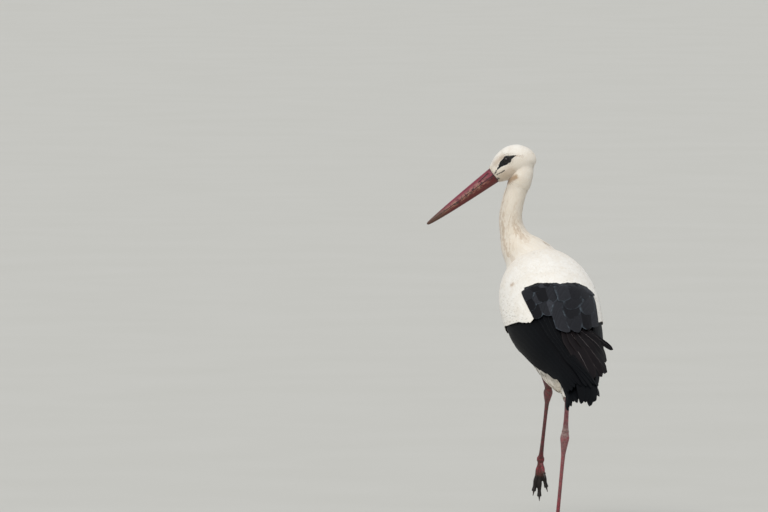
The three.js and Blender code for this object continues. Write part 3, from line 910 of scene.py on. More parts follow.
def feathers(name, front, roots, patch, material, back=None, **marks):
    """A piece of many feathers. front is feathers x rows x columns x 3; roots is each feather's
    place on the unwrapped skin, and patch the size of its spot there."""
    count, rows, columns = front.shape[0], front.shape[1] - 1, front.shape[2] - 1
    doubled = back is not None
    places = front.reshape(count, -1, 3)
    if doubled:
        places = np.concatenate([places, back.reshape(count, -1, 3)], axis=1)
    piece, loops = repeated(name, places, sheet_faces(rows, columns, doubled))
    along, across = grid(np.linspace(0, 1, rows + 1), np.linspace(0, 1, columns + 1))
    own = np.stack([across, along], axis=-1)
    own = np.tile(np.concatenate([own, own]) if doubled else own, (count, 1)).reshape(count, -1, 2)
    for map_name, uv in (("Vane", own), ("OFBake", roots[:, None] + (own - 0.5) * patch)):
        unroll(piece, map_name, uv, loops)
    marks["shade"] = np.random.default_rng(count).random(count)
    for mark_name, values in marks.items():
        each = values(places.reshape(-1, 3)) if callable(values) else np.repeat(values, places.shape[1])
        put(piece, **{mark_name: each})
    return dressed(piece, material, 50)


def outline(along, blunt, shoulder, root=0.35):
    """A vane's half-width, as a share of its widest, from root to tip."""
    rise = mix(root, 1, np.sin(np.clip(along / 0.3, 0, 1) * math.pi / 2))
    fall = np.clip((along - shoulder) / (1 - shoulder), 0, 1)
    return rise * np.maximum(1 - fall**blunt, 0) ** 0.5 + 0.03


def tree_of(places):
    """A tree that finds the places near a place."""
    tree = kdtree.KDTree(len(places))
    for i, place in enumerate(places.tolist()):
        tree.insert(place, i)
    tree.balance()
    return tree


class Hide:
    """The skin as ground for a coat: places spread over it, and the way that feathers lie on it."""

    REACH = 26  # how far out the outside is looked for
    RIDGE, CAMBER = 0.06, 0.14  # how far shaft and vane stand up, as shares of the half-width

    def __init__(self, skin, solids):
        mesh = skin.data
        mesh.calc_loop_triangles()
        self.places = places_of(skin)
        triangles = np.empty(len(mesh.loop_triangles) * 3, np.int32)
        mesh.loop_triangles.foreach_get("vertices", triangles)
        self.triangles = triangles.reshape(-1, 3)
        self.ground = BVHTree.FromPolygons(self.places.tolist(), self.triangles.tolist())
        corners = self.places[self.triangles]
        self.middles = corners.mean(1)
        normals = np.cross(corners[:, 1] - corners[:, 0], corners[:, 2] - corners[:, 0])
        self.areas = np.linalg.norm(normals, axis=1) / 2
        self.part = np.where(bare_or_covered(self.middles), -1, area_of(self.middles))
        outer, faces, first = [], [], 0
        for node in solids:
            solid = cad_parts[node]
            outer.append(places_of(solid))
            faces += [tuple(i + first for i in polygon.vertices) for polygon in solid.data.polygons]
            first += len(outer[-1])
        self.outside = BVHTree.FromPolygons(np.vstack(outer).tolist(), faces)

    def spread(self, part, spacing, seed):
        """Places about so far apart, at random but evenly, over one part of the coat."""
        draw = np.random.default_rng(seed)
        use = self.part == part
        corners = self.places[self.triangles[use]]
        apart = np.broadcast_to(spacing(self.middles[use]), use.sum())
        weight = self.areas[use] / apart**2
        tries = int(weight.sum() * 3.2)
        pick = draw.choice(len(weight), tries, p=weight / weight.sum())
        a, b = draw.random((2, tries))
        a, b = np.where(a + b > 1, 1 - a, a), np.where(a + b > 1, 1 - b, b)
        c = corners[pick]
        places = c[:, 0] + (c[:, 1] - c[:, 0]) * a[:, None] + (c[:, 2] - c[:, 0]) * b[:, None]
        apart = apart[pick] * 0.78
        tree = tree_of(places)
        kept = np.ones(tries, bool)
        for i in range(tries):
            if kept[i]:
                for _, j, _ in tree.find_range(places[i], apart[i]):
                    if j > i:
                        kept[j] = False
        return places[kept]

    def height(self, place, normal, most):
        """How thick the coat can be at a place, before it reaches the outside of the solids."""
        start = place + normal * self.REACH
        hit = self.outside.ray_cast(start, -normal, self.REACH * 1.4)
        return most if hit[0] is None else min(max(self.REACH - hit[3], 0.8), most)

    def grown(self, roots, ways, length, width, most, rows, columns, draw, root_lift, blunt, shoulder):
        """Feathers that grow at these roots and lie along the skin: feathers x rows x columns x 3."""
        along = np.sin(np.linspace(0, 1, rows + 1) * math.pi / 2)
        across = np.linspace(-1, 1, columns + 1)
        half = outline(along, blunt, shoulder)
        made = np.empty((len(roots), rows + 1, columns + 1, 3))
        jitter = draw.normal(0, 1, (len(roots), 3))
        crown = (1 - across**2) * self.CAMBER + self.RIDGE * np.maximum(0, 1 - 3 * np.abs(across))
        lines, coats, widths = [], [], []
        for i, root in enumerate(roots):
            place, normal, _, _ = self.ground.find_nearest(root)
            way = Vector(ways[i])
            way = (way - normal * way.dot(normal)).normalized()
            way = (way + normal.cross(way) * jitter[i, 0] * 0.12).normalized()
            long = length[i] * (1 + 0.14 * jitter[i, 1])
            widths.append(width[i] * (1 + 0.1 * jitter[i, 2]))
            spots = [(place, normal, way)]
            for r in range(1, rows + 1):
                ahead = spots[-1][0] + way * (along[r] - along[r - 1]) * long
                spot, normal, _, _ = self.ground.find_nearest(ahead)
                way = (way - normal * way.dot(normal)).normalized()
                spots.append((spot, normal, way))
            heights = sorted(self.height(spot, normal, most[i]) for spot, normal, _ in spots)
            coats.append(heights[len(spots) // 2])
            lines.append(spots)
        coats = evened(roots, coats, 13)
        for i, (spots, coat, wide) in enumerate(zip(lines, coats, widths)):
            for r, (spot, normal, way) in enumerate(spots):
                out = np.array(normal)
                side = np.array(normal.cross(way)) * wide * half[r]
                middle = np.array(spot) + out * coat * mix(root_lift, 1.0, along[r] ** 0.8)
                made[i, r] = middle + side * across[:, None] + out * (crown * wide * half[r])[:, None]
        return made


def evened(places, values, within):
    """Each value becomes the mean of those near its place, so that no step shows."""
    tree, values = tree_of(places), np.array(values)
    return [values[[j for _, j, _ in tree.find_range(place, within)]].mean() for place in places.tolist()]


def lie_of_coat(places):
    """The way that feathers point: back over the head, down the neck, and back along the body."""
    share = NECK.nearest(places)
    down_neck = -NECK.along(np.minimum(share, 0.84))
    ahead = in_head(places)[0]
    on_skull = (ramp(-84, -52, ahead) * ramp(0.78, 0.9, share))[:, None]
    on_trunk = ramp(0.34, 0.1, share)[:, None]
    over_head = -HEAD_FORWARD + HEAD_UP * (-0.35 * ramp(-30, -80, ahead))[:, None]
    along_body = unit(BACKWARD + np.array([0, 0, -0.35]))
    way = mix(mix(down_neck, over_head, on_skull), along_body, on_trunk)
    return unit(way + 1e-6)


# ---------------------------------------------------------------- the coat over the skin
AREAS = ["head", "neck", "breast", "belly", "vent", "thigh_left", "thigh_right"]
SHOULDER_TOP = 622  # nothing of the trunk is as high as this
OUTER_NODES = ["head", "neck_upper", "neck_middle", "neck_lower", "trunk", "mantle", "coverts_left",
               "coverts_right", "thigh_left", "thigh_right"]


def in_body(places):
    """How far each place is behind the chest, to the left and up the back, and its angle there."""
    from_centre = places - BODY_CENTRE
    back, left, up = from_centre @ BACKWARD + CHEST_TO_CENTRE, from_centre @ LEFT, from_centre @ DORSAL
    return back, left, up, np.degrees(np.arctan2(up, left))


def on_thigh(places, side):
    """How near the places are to the feathered thigh, below the trunk."""
    share = THIGH[side].nearest(places)
    near = far(places, THIGH[side].at(share)) < between(THIGH_SIZE, share).max(1) + 1
    return near & (share > 0.16) & (share < 0.985) & (in_body(places)[2] < -20)


def area_of(places):
    """Which part of the coat each place belongs to, as a number of AREAS."""
    share = NECK.nearest(places)
    round_neck = between(NECK_SIZE, share).max(1) + mix(3, 20, ramp(0.5, 0.7, share))
    on_neck = (far(places, NECK.at(share)) < round_neck) & (share > 0.3)
    ahead, up, _ = in_head(places)
    on_skull = (far(places, on_head(-46, 0, 0)) < 56) & (share > 0.8)
    on_skull &= (ahead > -80) | (up > -10)
    back = in_body(places)[0]
    area = np.full(len(places), AREAS.index("belly"))
    area[back < 150] = AREAS.index("breast")
    area[back > 400] = AREAS.index("vent")
    area[on_neck | (places[:, 2] > SHOULDER_TOP)] = AREAS.index("neck")
    area[on_skull | ((share > 0.9) & (up > 0))] = AREAS.index("head")
    for side in ("left", "right"):
        area[on_thigh(places, side)] = AREAS.index("thigh_" + side)
    return area


def bare_or_covered(places):
    """1 where no contour feather grows: the black face, the legs, and the trunk under the wings."""
    back, _, _, angle = in_body(places)
    from_side = np.where(np.abs(angle) > 90, 180 * np.sign(angle) - angle, angle)
    share = NECK.nearest(places)
    off_neck = (far(places, NECK.at(share)) > between(NECK_SIZE, share).max(1)) | (share < 0.12)
    under_wing = (from_side > edge_below(back) + 7) & off_neck & (back > 45) & (share < 0.3)
    off_thigh = ~(on_thigh(places, "left") | on_thigh(places, "right"))
    on_leg = leg_marks(places)[2].astype(bool) & (places[:, 2] < 440)
    ahead, up, left = in_head(places)
    at_eye = np.hypot(ahead + EYE_BACK, up - EYE_UP) < 8.8
    bare_face = (bare_mask(places) > 0.75) | at_eye
    on_face = (ahead > -70) & (ahead < 90) & (np.abs(left) > 8)
    return ((under_wing | on_leg) & off_thigh) | ((bare_face & on_face | (ahead > 0.2)) & (share > 0.8))


# Spacing, length, width and depth of the coat's feathers where they are alike all over.
EVEN_COATS = {"belly": (3.4, 38, 7, 11), "vent": (2.8, 42, 6, 12), "thigh": (2.6, 20, 4, 7)}


def coat_sizes(area, places):
    """Spacing, length, width and depth of the coat's feathers at each place."""
    share = NECK.nearest(places)
    ahead, up, _ = in_head(places)
    back = in_body(places)[0]
    if area == "head":
        grown = ramp(-5, -85, ahead)
        near_eye = ramp(24, 10, np.hypot(ahead + EYE_BACK, up - EYE_UP))
        length = mix(mix(4.6, 13, grown), 3.8, near_eye)
        return mix(1.25, 1.8, grown), length, length * 0.2, mix(1.5, 9.0, ramp(-30, -85, ahead))
    if area == "neck":
        grown = ramp(0.95, 0.35, share)
        return mix(1.9, 3.2, grown), mix(14, 36, grown), mix(2.0, 4.2, grown), mix(5, 10, grown)
    if area == "breast":
        low, at_neck = ramp(60, 0, back), ramp(0.1, 0.3, share)
        length, width = mix(mix(28, 46, low), 36, at_neck), mix(mix(6.5, 5, low), 4.4, at_neck)
        return 3.0 + 0 * share, length, width, mix(13, 9.5, at_neck)
    sizes = [size + 0 * share for size in EVEN_COATS[area.split("_")[0]]]
    if area == "vent":
        sizes[1] = mix(42, 60, ramp(420, 470, back))
    return sizes


def unwrapped(area, places):
    """Each place on the skin rolled out flat for its part of the coat, from 0 to 1 both ways."""
    if area == "head":
        ahead, up, left = in_head(places)
        along, turn = ramp(5, -100, ahead), np.arctan2(left, up + 2)
    elif area == "neck":
        along = NECK.nearest(places)
        across = np.cross(NECK.along(along), LEFT)
        off = places - NECK.at(along)
        turn = np.arctan2(off @ LEFT, (off * across).sum(1))
    elif area.startswith("thigh"):
        path = THIGH[area[6:]]
        along = path.nearest(places)
        off = places - path.at(along)
        turn = np.arctan2(off[:, 0], off[:, 1])
    else:
        back, left, up, _ = in_body(places)
        low, high = {"breast": (-40, 150), "belly": (150, 400), "vent": (400, 500)}[area]
        along, turn = ramp(low, high, back), np.arctan2(left, -up)
    return np.stack([0.02 + 0.96 * (turn / (2 * math.pi) + 0.5), 0.02 + 0.96 * along], axis=-1)


def make_coat(hide, area, material, settings):
    """The contour feathers of one part of the body."""
    seed = settings.seed + AREAS.index(area)
    draw = np.random.default_rng(seed)
    spacing = lambda places: coat_sizes(area, places)[0] * settings.spacing
    roots = hide.spread(AREAS.index(area), spacing, seed)
    _, length, width, most = coat_sizes(area, roots)
    ways = lie_of_coat(roots)
    if area.startswith("thigh"):
        down = unit(HEEL[area[6:]] - KNEE[area[6:]])
        ways = unit(down + 0.2 * BACKWARD + np.zeros_like(ways))
    small = area == "head"
    rows = 2 if small else 3 if area in ("neck", "breast") else 4
    root_lift = {"head": 0.62, "neck": 0.55, "breast": 0.58, "belly": 0.7, "vent": 0.7}.get(area, 0.5)
    front = hide.grown(roots, ways, length * settings.length, width, most, rows, 2, draw, root_lift,
                       blunt=1.6 if small else 1.9, shoulder=0.2 if area in ("head", "neck") else 0.4)
    warm = warm_tint(roots)
    if area in ("neck", "breast"):
        warm = np.maximum(warm, streaks(roots, seed))
    dark = np.where(bare_mask(roots) > 0, 0, black_face(roots))
    return feathers(area + "_coat", front, unwrapped(area, roots), 0.003, material, warm=warm, dark=dark,
                    cream=cream_tint(roots))


# ---------------------------------------------------------------- tracts of the closed wing
SHOULDER_LINE = 46  # the angle where the coverts end and the mantle and scapulars begin
COVERT_LOBES = 3  # rounded lobes along the coverts' rear edge


def coverts_end(t):
    """How far back the white coverts reach, from the wing's lower edge up to the shoulder line."""
    t = np.clip(t, 0, 1)
    edge = np.interp(t, [0, 0.4, 0.56, 0.7, 0.83, 1], [150, 203, 246, 282, 303, 307])
    return edge + 6 * np.abs(np.sin(math.pi * COVERT_LOBES * t)) ** 0.7


def fan_top(back):
    """The angle of the line between the left wing's secondaries and its tertials, which run across
    the back as the wing folds."""
    return np.interp(back, [300, 388, 466, 506, 540], [47, 52, 68, 92, 105])


def fan_bottom(back):
    return np.minimum(edge_below(back), mix(-12, 0, ramp(390, 560, back)))


def over_the_back(back):
    """The upper edge of the left wing's tertials, which lie over those of the right wing."""
    return np.interp(back, [250, 388, 428, 466, 488, 506, 530], [74, 76, 86, 100, 116, 136, 156])


# For each tract: where it starts and ends behind the chest at a share of its width, its lower and
# upper edge as angles there, and how deep it lies.
TRACTS = {
    "mantle": {
        "start": lambda t, right: 8 + 0 * t,
        "end": lambda t, right: mix(242, 200, np.abs(2 * t - 1) ** 0.8) + 5 * np.abs(np.sin(4 * math.pi * t)),
        "angles": lambda back, right: (SHOULDER_LINE - 3 + 0 * back, 183 - SHOULDER_LINE + 0 * back),
        "depth": 0,
    },
    "coverts": {
        "start": lambda t, right: 10 + 0 * t,
        "end": lambda t, right: coverts_end(t) + 4,
        "angles": lambda back, right: (edge_below(back), SHOULDER_LINE + 1 + 0 * back),
        "depth": 0,
        "sunk_front": 11,
    },
    "scapulars": {
        "start": lambda t, right: mix(176, 200, t),
        "end": lambda t, right: mix(342, 396, np.sin(np.clip(2 * t, 0, 1.57))) if right else mix(322, 350, t),
        "angles": lambda back, right: (
            SHOULDER_LINE - (5 if right else 1) + 0 * back,
            (90 + 10 * ramp(285, 325, back) * ramp(404, 380, back)) if right else 91 + 0 * back),
        "depth": -2.5,
        "sunk_root": 10,
        "right_higher": 2.5,
    },
    "tertials": {
        "start": lambda t, right: 250 + 0 * t,
        "end": lambda t, right: mix(575, 528, t) if right else mix(548, 514, t),
        "angles": lambda back, right: (
            (mix(SHOULDER_LINE + 0.8, 18, ramp(334, 470, back)), 104 + 0 * back) if right
            else (fan_top(back) - 1, over_the_back(back))),
        "depth": 1.2,
        "right_higher": -6.5,
    },
    "secondaries": {
        "start": lambda t, right: coverts_end(t) - 34,
        "end": lambda t, right: mix(436, 544, t**0.8) if right else np.interp(
            t, [0, 0.18, 0.28, 0.41, 0.51, 0.62, 1], [388, 436, 484, 526, 552, 550, 540]),
        "angles": lambda back, right: (
            (edge_below(back), mix(SHOULDER_LINE + 2, 34, ramp(320, 458, back))) if right
            else (fan_bottom(back), fan_top(back))),
        "depth": 2.5,
    },
    "primaries": {
        "start": lambda t, right: 350 + 0 * t,
        "end": lambda t, right: (mix(535, 590, ramp(0, 0.5, t)) if right else mix(602, 574, t)),
        "angles": lambda back, right: (edge_below(back) + 2, mix(66, 95, ramp(400, 490, back))),
        "depth": 13.5,
    },
}
RISE = {"primaries": 10}  # how far the tips come out again towards the outside


def on_tract(name, side, along, t, inset, own_t):
    """A place on a tract: along from its start to its end, which lie where they do at own_t, and t
    from its lower to its upper edge."""
    plan, right = TRACTS[name], side == "right"
    back = mix(plan["start"](own_t, right), plan["end"](own_t, right), along)
    low, high = plan["angles"](back, right)
    angle = mix(low, high, t)
    rise_from = 480 if right else 540
    depth = plan["depth"] + inset - RISE.get(name, 0) * ramp(rise_from, rise_from + 45, back)
    depth = depth + plan.get("sunk_root", 0) * ramp(0.3, 0.05, along)
    depth = depth + plan.get("sunk_front", 0) * ramp(0.08, 0.0, along) ** 1.5
    depth = depth - (plan.get("right_higher", 0) if right else 0)
    return on_outside(back, 180 - angle if right else angle, depth)


def sheets(name, side, along, t, inset, thickness, own_t):
    """The fronts and backs of feathers on a tract. Columns run from the lower edge up, which on the
    right wing is the other way round."""
    order = slice(None, None, -1 if side == "right" else 1)
    depths = inset, inset + thickness
    return [on_tract(name, side, along, t, depth, own_t)[:, :, order] for depth in depths]


STAIN = on_outside(158, 35, 0)
STAIN_REACH = (11, 11, 5.5)


def stained(places):
    """A small brown stain on the left shoulder."""
    return 0.8 * ramp(1, 0.3, far(places / STAIN_REACH, STAIN / STAIN_REACH))


def tract_of_rows(name, side, rows, columns, long, wide, seed, material, *, sink, thick, across, along,
                  wobble, blunt=2.4, spill=0.02):
    """Many overlapping feathers in staggered rows; long and wide count in rows and in columns."""
    draw = np.random.default_rng(seed)
    r, c = grid(np.arange(rows), np.arange(columns + 1))
    own_t = (c + 0.5 * (r % 2)) / columns + draw.normal(0, 0.13 * wobble, len(r)) / columns
    tip = (r + 1 + draw.normal(0, 0.2 * wobble, len(r)) * (r < rows - 1)) / rows
    keep = (own_t > -0.01) & (own_t < 1.01)
    own_t, tip = np.clip(own_t[keep], 0, 1), tip[keep]
    v = np.sin(np.linspace(0, 1, along + 1) * math.pi / 2)[None, :, None]
    u = np.linspace(-1, 1, across + 1)[None, None]
    half = outline(v, blunt, 0.55) * wide / columns / 2
    turned = draw.normal(0, 0.12 * wobble, len(tip))[:, None, None]
    t = own_t[:, None, None] + (u * half + turned * v * wide / columns / 2)
    reach = tip[:, None, None] - (1 - v) * long / rows + 0 * u
    lift = draw.normal(0, 0.15 * wobble, len(tip))[:, None, None] * v
    inset = sink * (1 - v) ** 1.2 - lift + 0.5 * u**2 - 0.35 * np.maximum(0, 1 - 3 * np.abs(u))
    t = np.clip(t, -0.02, 1 + spill)
    thickness = thick * half * columns / wide * 2
    front, under = sheets(name, side, reach, t, inset, thickness, np.clip(t, 0, 1))
    roots = np.stack([0.02 + 0.96 * own_t, np.clip(0.02 + 0.9 * (tip - 0.5 / rows), 0, 0.99)], axis=-1)

    piece_name = "mantle_feathers" if name == "mantle" else f"{name}_feathers_{side}"
    cream = 0.5 * ramp(120, 10, in_body(front.mean(axis=(1, 2)))[0])
    return feathers(piece_name, front, roots, 0.003, material, under, warm=stained, cream=cream)


SHAFT_AT = -0.15  # where a flight feather's shaft runs, from -1 at its lower edge to 1
SHAFT_HEIGHT = 0.25


def cells(count):
    """The middles of so many cells of a square, one for each long feather, and their size."""
    wide = math.ceil(math.sqrt(count))
    middles = np.stack([np.arange(count) % wide + 0.5, np.arange(count) // wide + 0.5], axis=-1) / wide
    return middles, 0.92 / wide


def tract_of_quills(name, side, count, overlap, seed, material, tuck, tip_scatter=5.0, pale=0.0,
                    tip_share=0.8):
    """Long flight feathers side by side, each one's upper edge tucked under the next one up."""
    draw = np.random.default_rng(seed)
    own_t = (np.arange(count) + 0.5) / count
    near_tip = 1 - 0.3 * (1 - np.sin(np.linspace(0.12, 1, 10) * math.pi / 2))
    v = np.r_[np.linspace(0, 0.7, 9), near_tip][None, :, None]
    u = np.array([-1, -0.7, -0.4, SHAFT_AT - 0.06, SHAFT_AT, SHAFT_AT + 0.06, 0.3, 0.65, 1])[None, None]
    half = outline(v, 2.2, tip_share, 0.75) * overlap / count / 2
    t = own_t[:, None, None] + u * half
    short = 1 + draw.normal(0, tip_scatter / 250, count)[:, None, None]
    shaft = np.exp(-(((u - SHAFT_AT) / 0.05) ** 2)) * SHAFT_HEIGHT * (1 - 0.6 * v)
    inset = tuck * (u + 1) / 2 - shaft + 1.5 * (1 - v) ** 2
    t_edge = own_t[:, None, None] + 0 * t
    front, under = sheets(name, side, v * short + 0 * u, np.clip(t, 0, 1), inset, 0.8, t_edge)
    return feathers(f"{name}_feathers_{side}", front, *cells(count), material, under,
                    pale_shaft=np.full(count, pale))


# Feathers of the right wing that lie fanned out, the last three standing off it. For each: its root
# and a place on the way, as distance behind the chest, angle and inset, its tip in the body's
# frame, and its half-width.
LOOSE_FEATHERS = [
    ((384, 84, 1.5), (446, 104, 2.5), on_outside(508, 136, 5), 19),
    ((386, 92, 1.5), (440, 118, 2.5), on_body(474, -63, 12), 19),
    ((384, 100, 1.0), (424, 130, 1.0), on_body(420, -84, -7), 18),
    ((380, 109, 0.5), (394, 142, -0.5), on_body(380, -89, -1), 16),
    ((370, 121, -0.5), (372, 148, -2.0), on_body(373, -102, 21), 8),
]
LOOSE_TURN = np.array([0, 0.55, 0])  # how far they have turned their flat side to the rear


def vanes_along(name, lines, faces, widths, material, pale=0.0):
    """Feathers that each follow a line from root to tip; faces are the ways that they look."""
    v = np.linspace(0, 1, 17)
    u = np.array([-1, -0.66, -0.33, -0.08, 0, 0.08, 0.33, 0.66, 1])[None]
    fronts, backs = [], []
    for line, facing, width in zip(lines, faces, widths):
        way = line.along(v)
        face = unit(facing - way * (way @ facing)[:, None])
        half = outline(v[:, None], 2.2, 0.7) * width
        lift = 0.3 * (1 - u**2) + 0.5 * np.exp(-((u / 0.06) ** 2)) * (1 - 0.6 * v[:, None])
        place = line.at(v)[:, None] + np.cross(face, way)[:, None] * (u * half)[..., None]
        fronts.append(place + face[:, None] * lift[..., None])
        backs.append(place - face[:, None] * 0.9)
    return feathers(name, np.array(fronts), *cells(len(lines)), material, np.array(backs),
                    pale_shaft=np.full(len(lines), pale))


def loose_vanes(material):
    """The feathers of the right wing that lie fanned out over its side."""
    lines, faces, widths = [], [], []
    for root, (back, angle, inset), tip, width in LOOSE_FEATHERS:
        middle = on_outside(back, angle, inset)
        lines.append(Path(on_outside(*root), middle, tip))
        faces.append(unit(unit(middle - on_outside(back, angle, 20)) + LOOSE_TURN))
        widths.append(width)
    return vanes_along("loose_feathers", lines, faces, widths, material, pale=0.8)


TAIL_FEATHERS = 12


def tail_lines():
    """The lines of the tail feathers, half to a side, the middle ones on top and longest."""
    lines = []
    for i in range(TAIL_FEATHERS):
        t = (i + 0.5) / (TAIL_FEATHERS / 2) - 1
        drop = -3 * t * t - 3.0 * abs(t)
        lines.append(Path(on_body(428, t * 13, 3 + drop), on_body(526 - 8 * t * t, t * 17.5, -7 + drop)))
    return lines


# ---------------------------------------------------------------- bill, eyes, claws and leg scales
BILL_DEPTH = {"upper": 18, "lower": 16}
BILL_HALF_WIDTH = 12.2
BILL_FULLNESS = {"upper": 0.74, "lower": 0.56}  # the less, the blunter the wedge
BILL_TIP = 1.8
NOSTRIL = ((9, 9.7), (36, 7.0))  # its ends, ahead of the face and above the mouth line


def make_bill(half, material):
    """One half of the bill: a rounded wedge with a sharp mouth edge, and a slit nostril above."""
    sign = 1 if half == "upper" else -1
    ahead = np.r_[-5, 0.4, np.linspace(1.6, BILL_LENGTH - 3, 118), BILL_LENGTH - 1.4, BILL_LENGTH - 0.4]
    t = np.clip(1 - ahead / BILL_LENGTH, 0, 1)[:, None]
    deep = mix(BILL_TIP, BILL_DEPTH[half], t ** BILL_FULLNESS[half])
    wide = mix(BILL_TIP, BILL_HALF_WIDTH, t**0.74)
    close = np.sqrt(np.clip((BILL_LENGTH + 0.3 - ahead) / 2.6, 0.05, 1))[:, None]
    a = np.r_[np.linspace(0, math.pi, 41), np.linspace(math.pi, 2 * math.pi, 9)[1:-1]][None]
    over = np.sin(a) >= 0
    left = np.cos(a) * wide * close * (1 - 0.06 * np.sin(a) ** 2 * over)
    up = np.where(over, np.abs(np.sin(a)) ** 0.92, 0) * deep * close
    mouth = mix(0, -1.5, t)
    side_ahead = ahead[:, None] + 0 * a
    slit = capsule(side_ahead, up, *NOSTRIL, 1.0, 0.4, 1.1) * (sign > 0) * (np.abs(left) > 2)
    groove = capsule(side_ahead, up, (36, 7.2), (112, 2.6), 0.2, 0.1, 1.6) * (sign > 0)
    left = left - np.sign(left) * (1.5 * slit + 0.35 * groove)
    places = on_head(side_ahead, mouth + sign * up, left)
    piece = loft(half + "_bill_horn", places)
    at_ahead, at_up, _ = in_head(places_of(piece))
    share = np.clip(at_ahead / BILL_LENGTH, 0, 1)
    depth_there = mix(BILL_TIP, BILL_DEPTH[half], (1 - share) ** BILL_FULLNESS[half])
    put(piece, along=share, up=np.clip(np.abs(at_up) / np.maximum(depth_there, 2), 0, 1),
        # marks the lower half, which the bill's material darkens with painted shade
        lower=np.full(len(share), float(sign < 0)),
        # where the bill's material paints shade inside the nostril
        slit=capsule(at_ahead, at_up, *NOSTRIL, 0.7, 0.3, 0.9) * (sign > 0))
    return dressed(piece, material, 55)


def make_eye(side, radius, material):
    """An eyeball, looking out to its side: 1 is the left one and -1 the right one."""
    name = "left" if side > 0 else "right"
    centre = on_head(-EYE_BACK, EYE_UP, side * EYE_OUT)
    bpy.ops.mesh.primitive_uv_sphere_add(segments=48, ring_count=32, radius=radius, location=(0, 0, 0))
    piece = bpy.context.active_object
    piece.name = piece.data.name = "eyeball_" + name
    turn = Vector((0, 0, 1)).rotation_difference(Vector(HEAD_LEFT * side)).to_matrix().to_4x4()
    piece.data.transform(turn)
    piece.data.transform(Matrix.Translation(Vector(centre * MM)))
    off = unit(places_of(piece) - centre)
    put(piece, from_pole=np.arccos(np.clip(off @ (HEAD_LEFT * side), -1, 1)))
    return dressed(piece, material)


def make_claws(side, material):
    """The claws of one foot: short, blunt horn cones that curve down a little."""
    pieces = []
    for toe, (_, length, _, _) in TOE_PLANS.items():
        path, across = toe_path(side, toe)
        start = length / path.length
        share = np.linspace(start - 0.02, 1, 14)
        t = ramp(start - 0.02, 1, share)
        size = np.stack([mix(2.9, 0.5, t**0.7), mix(3.0, 0.5, t**0.7)], axis=-1)
        rings = rings_along(path, share, size, across, 14)
        pieces.append(loft("claw", on_the_floor(rings, 0)))
    return dressed(joined("claws_" + side, pieces), material, 50)


CORNERS = np.arange(6) / 6 * 2 * math.pi  # of a six-sided plate, as angles round its middle


def plates_on(place_of, rows, around, swell):
    """Six-sided plates in staggered rows round a tube, where place_of(share, angle, out) gives a
    place, and where each plate lies on the unrolled tube."""
    fit = 0.93  # leaves a fine crease between neighbours
    size = (fit * 2 / 3 / rows, fit * 2 * math.pi / around / math.sqrt(3))
    r, c = grid(np.arange(rows), np.arange(around))
    share, angle = (r + 0.5) / rows, (c + 0.5 * (r % 2)) / around * 2 * math.pi
    places = [place_of(share, angle, swell)]
    for k in CORNERS:
        places.append(place_of(share + np.cos(k) * size[0], angle + np.sin(k) * size[1], 0.35 * swell))
    return np.stack(places, axis=1), np.stack([angle / (2 * math.pi) % 1, share], axis=-1)


def round_tube(middle, out_way, up_way, angle, half):
    """Places on a tube round its middle, which has half-sizes outwards and upwards."""
    return (middle + out_way * (np.cos(angle) * half[:, 0])[:, None]
            + up_way * (np.sin(angle) * half[:, 1])[:, None])


def make_scales(side, swell, material):
    """The scales of one leg: small six-sided plates round shin and shank, broad ones on the toes."""
    sets, uvs = [], []
    for path, sizes, rows, around, base in ((SHIN[side], SHIN_SIZE, 42, 14, 0.02),
                                            (SHANK[side], SHANK_SIZE, 124, 13, 0.27)):
        way = path.along(0.5)
        out_way = unit(LEFT - way * (way @ LEFT))

        def place(share, angle, out):
            share = np.clip(share, 0, 1)
            half = between(sizes, share) - 0.45 + out
            return round_tube(path.at(share), out_way, np.cross(way, out_way), angle, half)

        made, uv = plates_on(place, rows, around, swell)
        sets.append(made)
        uvs.append(uv * (0.96, 0.3) + (0.02, base))
    for n, (toe, (_, length, radius, _)) in enumerate(TOE_PLANS.items()):
        path, across = toe_path(side, toe)
        end = length / path.length

        def place(share, angle, out):
            share = np.clip(share * end, 0.02, end)
            t = share / end
            half = np.stack([mix(radius, 3.7, t), mix(radius, 3.4, t)], axis=-1)
            half = half * (1 + 0.12 * np.cos(t * math.pi * 6))[:, None] - 0.35 + out
            along = path.along(share)
            out_way = unit(across - along * (along @ across)[:, None])
            return round_tube(path.at(share), out_way, np.cross(along, out_way), angle, half)

        made, uv = plates_on(place, int(length / 2.1), 9, 1.25 * swell)
        sets.append(made)
        uvs.append(uv * (0.2, 0.35) + (0.02 + 0.24 * n, 0.6))
    places = on_the_floor(np.concatenate(sets), 0)
    faces = [(0, 1 + k, 1 + (k + 1) % 6) for k in range(6)] + [tuple(range(6, 0, -1))]
    piece, loops = repeated("leg_scales_" + side, places, faces)
    mud, chalk, _ = leg_marks(places[:, 0])
    put(piece, mud=np.repeat(mud, 7), chalk=np.repeat(chalk, 7))
    spot = np.vstack([(0, 0), np.stack([np.cos(CORNERS), np.sin(CORNERS)], axis=-1)]) * 0.0015
    unroll(piece, "OFBake", np.concatenate(uvs)[:, None] + spot, loops)
    return dressed(outwards(piece, merged=False), material, 40)


# ---------------------------------------------------------------- stage
AIM = np.array([351, -87, 597.0])
CAMERA_WAY = HEAD_LEFT  # the bird's head is seen straight from its left
CAMERA_FAR = 25000
VIEW_WIDTH = 1612.8  # how much of the world the view spans at the bird
SENSOR = 36


